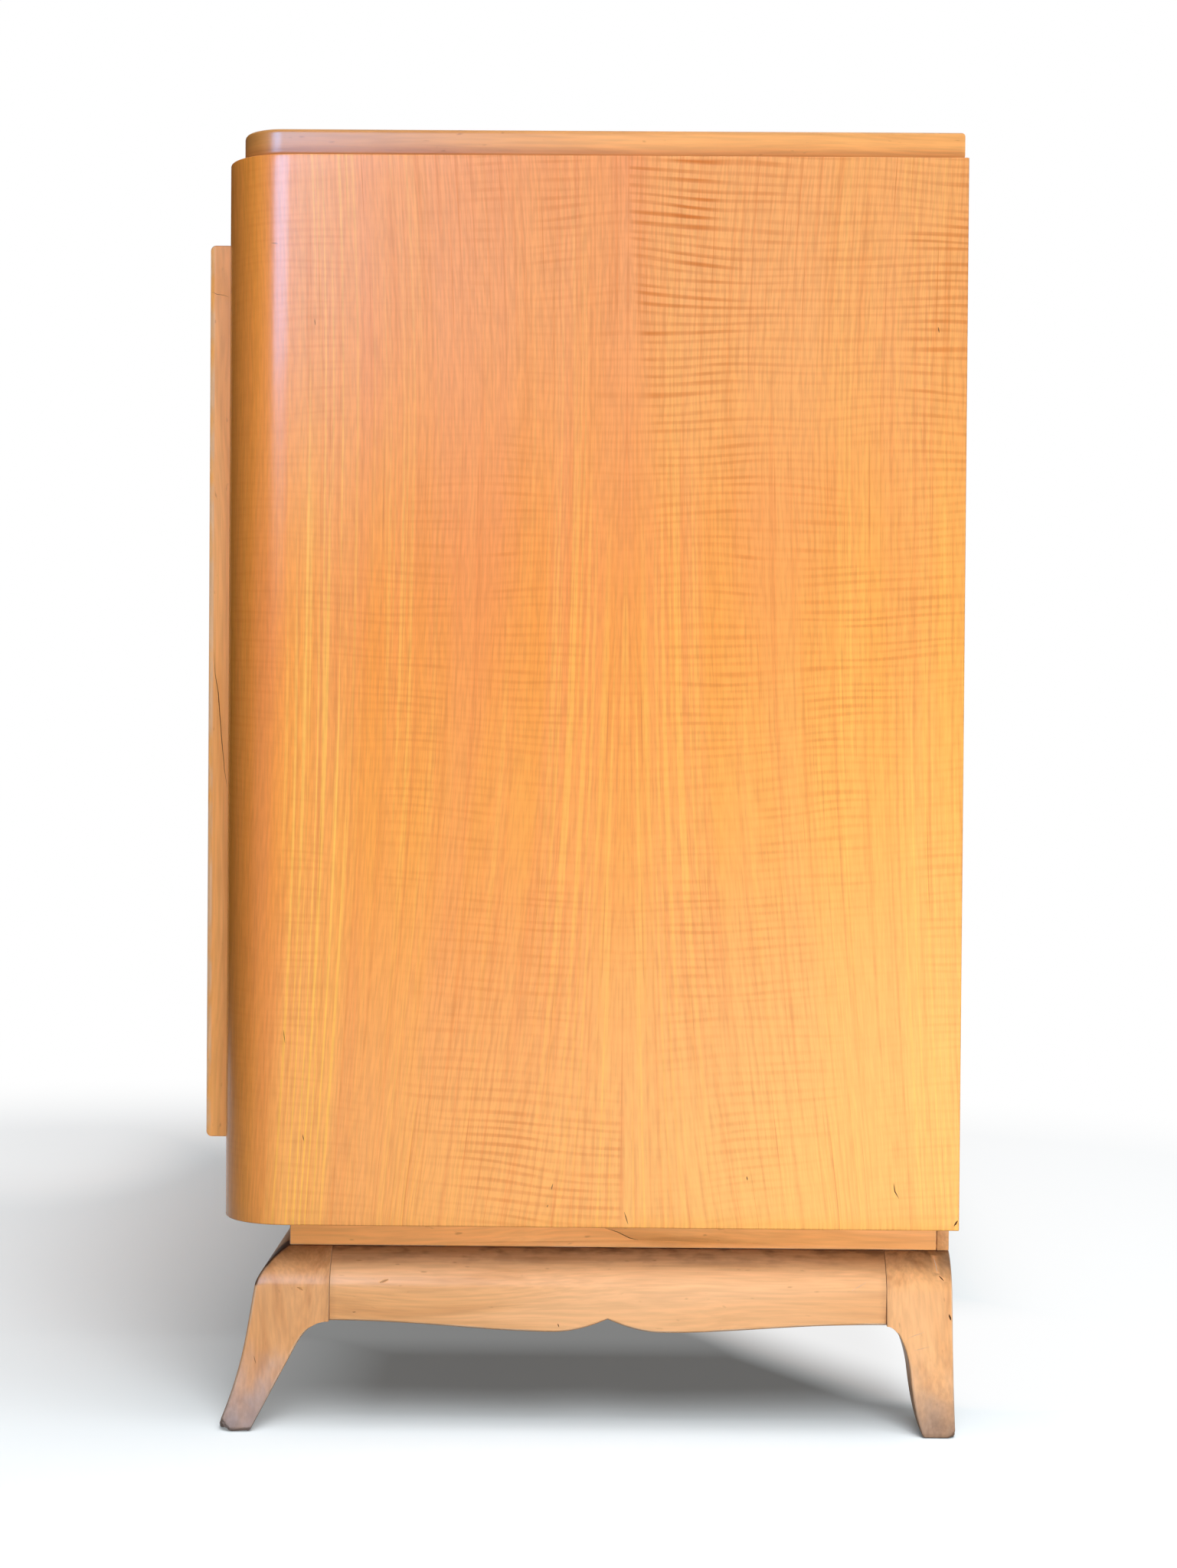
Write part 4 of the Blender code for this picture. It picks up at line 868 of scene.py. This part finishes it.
def addFrame():
    shape = frameShape
    width, steps = shape["width"], shape["edgeSteps"]
    frontY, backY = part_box("frame_rail_top")[0].y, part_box("frame_rail_top")[1].y
    edge = roundOver(shape["edgeRadius"], steps)
    section = [(0.0, backY)] + [(inset, frontY + back) for inset, back in edge]
    section += [(width - inset, frontY + back) for back, inset in edge] + [(width, backY)]
    inset, y = np.array(section).T
    worn = [0.0] + ([0.0] + [1.0] * (steps - 1) + [0.0]) * 2 + [0.0]
    for node, axis, way, shift in (("frame_stile_right", 'Z', 1, 1.71), ("frame_stile_left", 'Z', -1, 0.89),
                                   ("frame_rail_top", 'X', 1, 1.59), ("frame_rail_bottom", 'X', -1, 1.01)):
        low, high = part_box(node)
        length, out = (2, 0) if axis == 'Z' else (0, 2)
        first, last = low[length] + inset, high[length] - inset
        rings = np.empty((shape["lengthSteps"] + 1, len(section), 3))
        rings[:, :, 1] = y
        rings[:, :, out] = (high if way > 0 else low)[out] - way * inset
        rings[:, :, length] = [first + (last - first) * share for share in np.linspace(0, 1, len(rings))]
        mesh = meshFromRings(node, rings, worn * len(rings), 40)
        finishPiece(node, mesh, [frameWood], grainAlong(axis, shift))


addFrame()
print("raised frame")


# Drawers: veneered fronts with turned knobs, beech boxes, ply bottoms

knobShape = {"head": 0.034, "neck": 0.014, "foot": 0.021, "footHeight": 0.003, "crown": 0.008,
             "underHead": 0.015, "waist": 0.0088, "tenon": 0.010, "gap": 0.0003, "steps": 56}
frontShape = {"arris": 0.0010, "railArris": 0.0006, "near": 0.0001}


def addKnob(node):
    shape = knobShape
    low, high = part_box(node)
    middleX, middleZ = (low.x + high.x) / 2, (low.z + high.z) / 2
    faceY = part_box(node.split("_knob")[0] + "_front")[0].y
    reach = faceY - low.y
    head, neck, foot, tenon = (shape[key] / 2 for key in ("head", "neck", "foot", "tenon"))
    rim, waist = (head, reach - shape["crown"]), (neck, shape["waist"])
    under, flare = reach - shape["underHead"], (neck, shape["footHeight"])
    profile = np.vstack((
        shareCurve((0.0002, reach), rim, (0.55, 0.00), (1.00, 0.20), 16),
        cubic(rim, (head, under), (neck, under), waist, 16)[1:],
        cubic(waist, flare, flare, (foot, shape["footHeight"]), 12)[1:],
        [(foot, shape["gap"]), (tenon, shape["gap"]), (tenon, faceY - high.y)]))
    turn = np.linspace(0, 2 * math.pi, shape["steps"], endpoint=False)
    rings = [np.column_stack((middleX + r * np.cos(turn), np.full(len(turn), faceY - out),
                              middleZ + r * np.sin(turn))) for r, out in profile]
    mesh = meshFromRings(node, rings, None, 50)
    finishPiece(node, mesh, [solid], grainAlong('Y', 2.0 + middleX + middleZ))


def drawerGrain(points):
    # One flitch runs up through all the fronts, opened like a book at the middle
    return np.column_stack((points[:, 0], points[:, 0] * 0, points[:, 2] + 3.0))


def addDrawers():
    near = frontShape["near"]
    for level in ("lower", "middle", "upper"):
        front = "drawer_{}_front".format(level)
        low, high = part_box(front)

        def frontArris(a, b):
            onFace = max(a.y, b.y) < low.y + near
            onEnd = min(a.x, b.x) > high.x - near or max(a.x, b.x) < low.x + near
            return onFace and (onEnd or min(a.z, b.z) > high.z - near or max(a.z, b.z) < low.z + near)

        finishPiece(front, softenedMesh(front, frontShape["arris"], frontArris), [veneer], drawerGrain)
        for hand in ("right", "left"):
            addKnob("drawer_{}_knob_{}".format(level, hand))


addDrawers()
for rail in ("front_rail_top", "front_rail_bottom"):
    finishPiece(rail, softenedMesh(rail, frontShape["railArris"]), [veneer], drawerGrain)
print("drawers and front rails")


# Plain boards: wood, direction of the grain, and the radius of their arrises

plainBoards = {
    "plinth_front": (polished, 'X', 0.0008),
    "plinth_right": (polished, 'Y', 0.0008), "plinth_left": (polished, 'Y', 0.0008),
    "plinth_rear": (solid, 'X', 0.0004), "apron_rear": (beech, 'X', 0.0012),
    "bottom_panel": (beech, 'X', 0.0005), "sub_top": (beech, 'X', 0.0005),
    "cheek_right": (beech, 'Z', 0.0006), "cheek_left": (beech, 'Z', 0.0006),
    "divider_lower": (beech, 'X', 0.0008), "divider_upper": (beech, 'X', 0.0008),
    "back_panel": (ply, 'Z', 0.0004),
}
for end in ("front", "rear"):
    for hand in ("right", "left"):
        plainBoards["corner_block_{}_{}".format(end, hand)] = (beech, 'Z', 0.0010)
for level in ("lower", "middle", "upper"):
    drawer = "drawer_" + level
    plainBoards[drawer + "_back"] = (beech, 'X', 0.0006)
    plainBoards[drawer + "_bottom"] = (ply, 'X', 0.0003)
    for hand in ("right", "left"):
        plainBoards["runner_{}_{}".format(level, hand)] = (beech, 'Y', 0.0008)
        plainBoards["{}_side_{}".format(drawer, hand)] = (beech, 'Y', 0.0006)


def longArris(a, b):
    return (a - b).length > 0.08


def plyGrain(node, axis, shift):
    # The plies are counted from the sheet's own face
    through = 1 if node == "back_panel" else 2
    start = np.array((0.0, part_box(node)[0][through], shift))
    return lambda points: points[:, grainOrder[axis]] - start


for count, (node, (wood, axis, radius)) in enumerate(plainBoards.items()):
    grooved = "_side_" in node or node.endswith("_back")
    mesh = softenedMesh(node, radius, longArris if grooved else None)
    grain = plyGrain(node, axis, 3.1 * count) if wood is ply else grainAlong(axis, 0.37 * count)
    finishPiece(node, mesh, [wood], grain)
print("plain boards:", len(plainBoards))


# Camera at the photograph's place: square to the right side, a little below the middle

cameraPlace = {"eye": (2.2523, 0.0321, 0.4540), "yaw": -0.439, "pitch": 0.883, "roll": 0.427,
               "focalShare": 3400 / 2048, "sensor": 36}


def addCamera(place):
    yaw, pitch, roll = (math.radians(place[key]) for key in ("yaw", "pitch", "roll"))
    forward = Vector((-math.cos(pitch) * math.cos(yaw), math.cos(pitch) * math.sin(yaw), -math.sin(pitch)))
    level = forward.cross(Vector((0, 0, 1))).normalized()
    upright = level.cross(forward)
    right = level * math.cos(roll) + upright * math.sin(roll)
    up = upright * math.cos(roll) - level * math.sin(roll)
    data = bpy.data.cameras.new("camera")
    data.sensor_width = place["sensor"]
    data.lens = place["sensor"] * place["focalShare"]
    data.clip_start, data.clip_end = 0.05, 60
    camera = bpy.data.objects.new("camera", data)
    turned = Matrix((right, up, -forward)).transposed().to_4x4()
    camera.matrix_world = Matrix.Translation(place["eye"]) @ turned
    scene.collection.objects.link(camera)
    scene.camera = camera


addCamera(cameraPlace)


# Studio: pale floor, soft light from above and from the right, a cool window that only glosses

studio = {
    "floor": "#E8F0F5", "floorReach": 30, "floorGap": 0.0003, "shadowTint": "#EDFAFF",
    "whiteShare": 0.115, "whiteFrom": 0.80, "whiteBy": 1.70, "shadowHeart": (-0.40, 0.25, 0.0),
    # Painted pools of light in the floor's shadow, each bounded by directions: direction, from, to, share
    "pools": (
        (((-1.0, 1.6, 0.0), -0.185, 0.06, 0.86), ((1.0, 0.0, 0.0), 0.05, 0.22, 1.0),
         ((-1.0, 0.0, 0.0), -0.50, -0.44, 1.0)),                                        # under the right side
        (((-1.0, 0.0, 0.0), -0.41, -0.26, 0.21),),                                      # farther under
        (((0.0, -1.0, 0.0), 0.03, 0.23, 0.25), ((1.0, 0.0, 0.0), 0.15, 0.30, 1.0)),     # behind the front leg
        (((0.0, 1.0, 0.0), 0.27, 0.42, 0.75),),                                         # beyond the back
        (((-1.0, 0.0, 0.0), 0.00, 0.55, 0.52), ((0.0, -1.0, 0.0), 0.26, 0.56, 1.0)),    # left of the front
    ),
    "ambient": 0.08, "ambientTint": "#FFF4EA",
}
# White unless tinted; a lamp lights only some things, or spares some, and may be hidden from a kind of ray
lamps = {
    "floorLight": {"at": (1.3, 0.8, 5.0), "to": (0.3, 0.0, 0.2), "size": (3.2, 3.2), "power": 250,
                   "only": ("floor",)},
    "floorLow": {"at": (2.6, 0.45, 2.2), "to": (0.5, 0.0, 0.0), "size": (1.5, 1.5), "power": 46,
                 "only": ("floor",)},
    "overhead": {"at": (1.3, 0.8, 5.0), "to": (0.3, 0.0, 0.2), "size": (3.2, 3.2), "power": 50,
                 "spare": ("floor",)},
    "fill": {"at": (2.1, -0.45, 2.0), "to": (0.55, 0.0, 0.45), "size": (0.9, 0.9), "power": 25.6,
             "spare": ("floor",), "hidden": "visible_glossy"},
    "front": {"at": (-2.3, -1.8, 1.3), "to": (-0.2, -0.2, 0.45), "size": (1.2, 1.2), "power": 26,
              "spare": ("floor", "apronFront"), "hidden": "visible_glossy"},
    "rear": {"at": (-1.8, 2.2, 1.6), "to": (0.0, 0.2, 0.45), "size": (1.2, 1.2), "power": 48,
             "spare": ("floor",), "hidden": "visible_glossy"},
    "bounce": {"at": (1.5, 0.45, 0.05), "to": (0.55, 0.05, 0.60), "size": (1.0, 0.6), "power": 13.6,
               "spare": ("floor",), "hidden": "visible_glossy"},
    "kicker": {"at": (1.8, -1.0, 0.30), "to": (0.49, -0.27, 0.45), "size": (0.5, 0.5), "power": 2.3,
               "only": ("frameStileRight",), "hidden": "visible_glossy"},
    "window": {"at": (2.62, -1.055, 1.59), "to": (0.5, -1.055, 1.59), "size": (1.07, 1.15), "power": 142,
               "spare": ("topVeneer",), "hidden": "visible_diffuse", "tint": "#66B4FF"},
    "showFront": {"at": (-0.5, -2.9, 1.6), "to": (0.0, -0.25, 0.45), "size": (1.8, 1.4), "power": 38,
                  "spare": ("floor", "sideRight", "legFrontRight", "legRearRight", "apronRight",
                            "plinthRight", "topSlab", "topVeneer"), "hidden": "visible_glossy"},
    "showBend": {"at": (-3.0, -1.35, 1.0), "to": (0.49, -0.22, 0.45), "size": (0.8, 0.8), "power": 50,
                 "only": ("sideRight", "topSlab"), "through": True, "hidden": "visible_glossy"},
}


def addLamps():
    for name, lamp in lamps.items():
        data = bpy.data.lights.new(name, 'AREA')
        data.shape = 'RECTANGLE'
        data.size, data.size_y = lamp["size"]
        data.energy = lamp["power"]
        data.color = linear(lamp.get("tint", "#FFFFFF"))[:3]
        light = bpy.data.objects.new(name, data)
        light.location = lamp["at"]
        light.rotation_mode = 'QUATERNION'
        light.rotation_quaternion = (Vector(lamp["to"]) - Vector(lamp["at"])).to_track_quat('-Z', 'Y')
        light.visible_camera = False
        if "hidden" in lamp:
            setattr(light, lamp["hidden"], False)
        flagged = bpy.data.collections.new(name + "Flag")
        light.light_linking.receiver_collection = flagged
        if "through" in lamp:
            light.light_linking.blocker_collection = flagged
        for thing in lamp.get("only") or lamp["spare"]:
            flagged.objects.link(bpy.data.objects[thing])
            if "spare" in lamp:
                flagged.collection_objects[-1].light_linking.link_state = 'EXCLUDE'
        scene.collection.objects.link(light)


def whiteRays(tree):
    # 1 for rays that look at the background itself: from the camera, or through gloss and glass
    rays = addNode(tree, 'LightPath', {}, {})
    gloss = addNode(tree, 'Math', larger, (rays['Is Glossy Ray'], rays['Is Transmission Ray']))[0]
    return addNode(tree, 'Math', larger, (rays['Is Camera Ray'], gloss))[0]


def addFloor():
    material, tree = startMaterial("paintedFloor", {})[:2]
    tree.nodes.clear()
    place = addNode(tree, 'TexCoord', {}, {})['Object']
    shifted = addNode(tree, 'VectorMath', {'operation': 'ADD'}, (place, studio["shadowHeart"]))[0]
    distance = addNode(tree, 'VectorMath', {'operation': 'LENGTH'}, (shifted,))['Value']
    pale = addNode(tree, 'MapRange', smooth, (
        distance, studio["whiteFrom"], studio["whiteBy"], studio["whiteShare"], 1.0))[0]
    # painted pools of light: white emission in parts of the shadow
    for edges in studio["pools"]:
        paintedPool = 1.0
        for direction, low, high, full in edges:
            reach = addNode(tree, 'VectorMath', {'operation': 'DOT_PRODUCT'}, (place, direction))['Value']
            edge = addNode(tree, 'MapRange', smooth, (reach, low, high, 0.0, full))[0]
            paintedPool = addNode(tree, 'Math', multiply, (edge, paintedPool))[0]
        pale = addNode(tree, 'Math', larger, (paintedPool, pale))[0]
    share = addNode(tree, 'Math', multiply, (pale, whiteRays(tree)))[0]
    # Wood warms the light under it, so a small share of white is cooler and the shadow stays grey
    lit = addNode(tree, 'MapRange', {}, (pale, 0.10, 0.40, 0.0, 1.0))[0]
    shade = addNode(tree, 'Mix', tinted, {0: lit, 6: linear(studio["shadowTint"]), 7: (1, 1, 1, 1)})[2]
    white = addNode(tree, 'Emission', {}, {'Color': shade, 'Strength': 1.0})[0]
    matt = addNode(tree, 'BsdfDiffuse', {}, {'Color': linear(studio["floor"])})[0]
    surface = addNode(tree, 'MixShader', {}, (share, matt, white))[0]
    addNode(tree, 'OutputMaterial', {}, {'Surface': surface})
    far, under = studio["floorReach"], -studio["floorGap"]
    mesh = bpy.data.meshes.new("floor")
    mesh.from_pydata([(-far, -far, under), (far, -far, under), (far, far, under), (-far, far, under)], [],
                     [(0, 1, 2, 3)])
    mesh.materials.append(material)
    floor = bpy.data.objects.new("floor", mesh)
    floor.visible_diffuse = False    # it takes light and shadow but throws no light back
    scene.collection.objects.link(floor)


# Folding screen, matt black, that stands in front at the left: only the gloss of the bends sees it
screenShape = {"plan": ((-1.1, -0.26), (-1.1, -1.7), (1.2, -1.7)), "height": 2.6}
screenLook = {"Base Color": linear("#14110F"), "Roughness": 0.9, "Specular IOR Level": 0.0}


def addScreen():
    corners = [(x, y, z) for z in (0.0, screenShape["height"]) for x, y in screenShape["plan"]]
    mesh = bpy.data.meshes.new("screen")
    mesh.from_pydata(corners, [], [(0, 1, 4, 3), (1, 2, 5, 4)])
    mesh.materials.append(startMaterial("blackCloth", screenLook)[0])
    screen = bpy.data.objects.new("screen", mesh)
    screen.visible_camera = False
    screen.visible_diffuse = False
    screen.visible_shadow = False
    scene.collection.objects.link(screen)


def addWorld():
    world = bpy.data.worlds.new("studio")
    scene.world = world
    world.use_nodes = True
    tree = world.node_tree
    tree.nodes.clear()
    ambient = {'Color': linear(studio["ambientTint"]), 'Strength': studio["ambient"]}
    soft = addNode(tree, 'Background', {}, ambient)[0]
    white = addNode(tree, 'Background', {}, {'Color': (1, 1, 1, 1), 'Strength': 1.0})[0]
    mixed = addNode(tree, 'MixShader', {}, (whiteRays(tree), soft, white))[0]
    addNode(tree, 'OutputWorld', {}, {'Surface': mixed})


addFloor()
addScreen()
addLamps()
addWorld()
scene.view_settings.view_transform = 'Standard'
print("camera, lamps, floor and world")
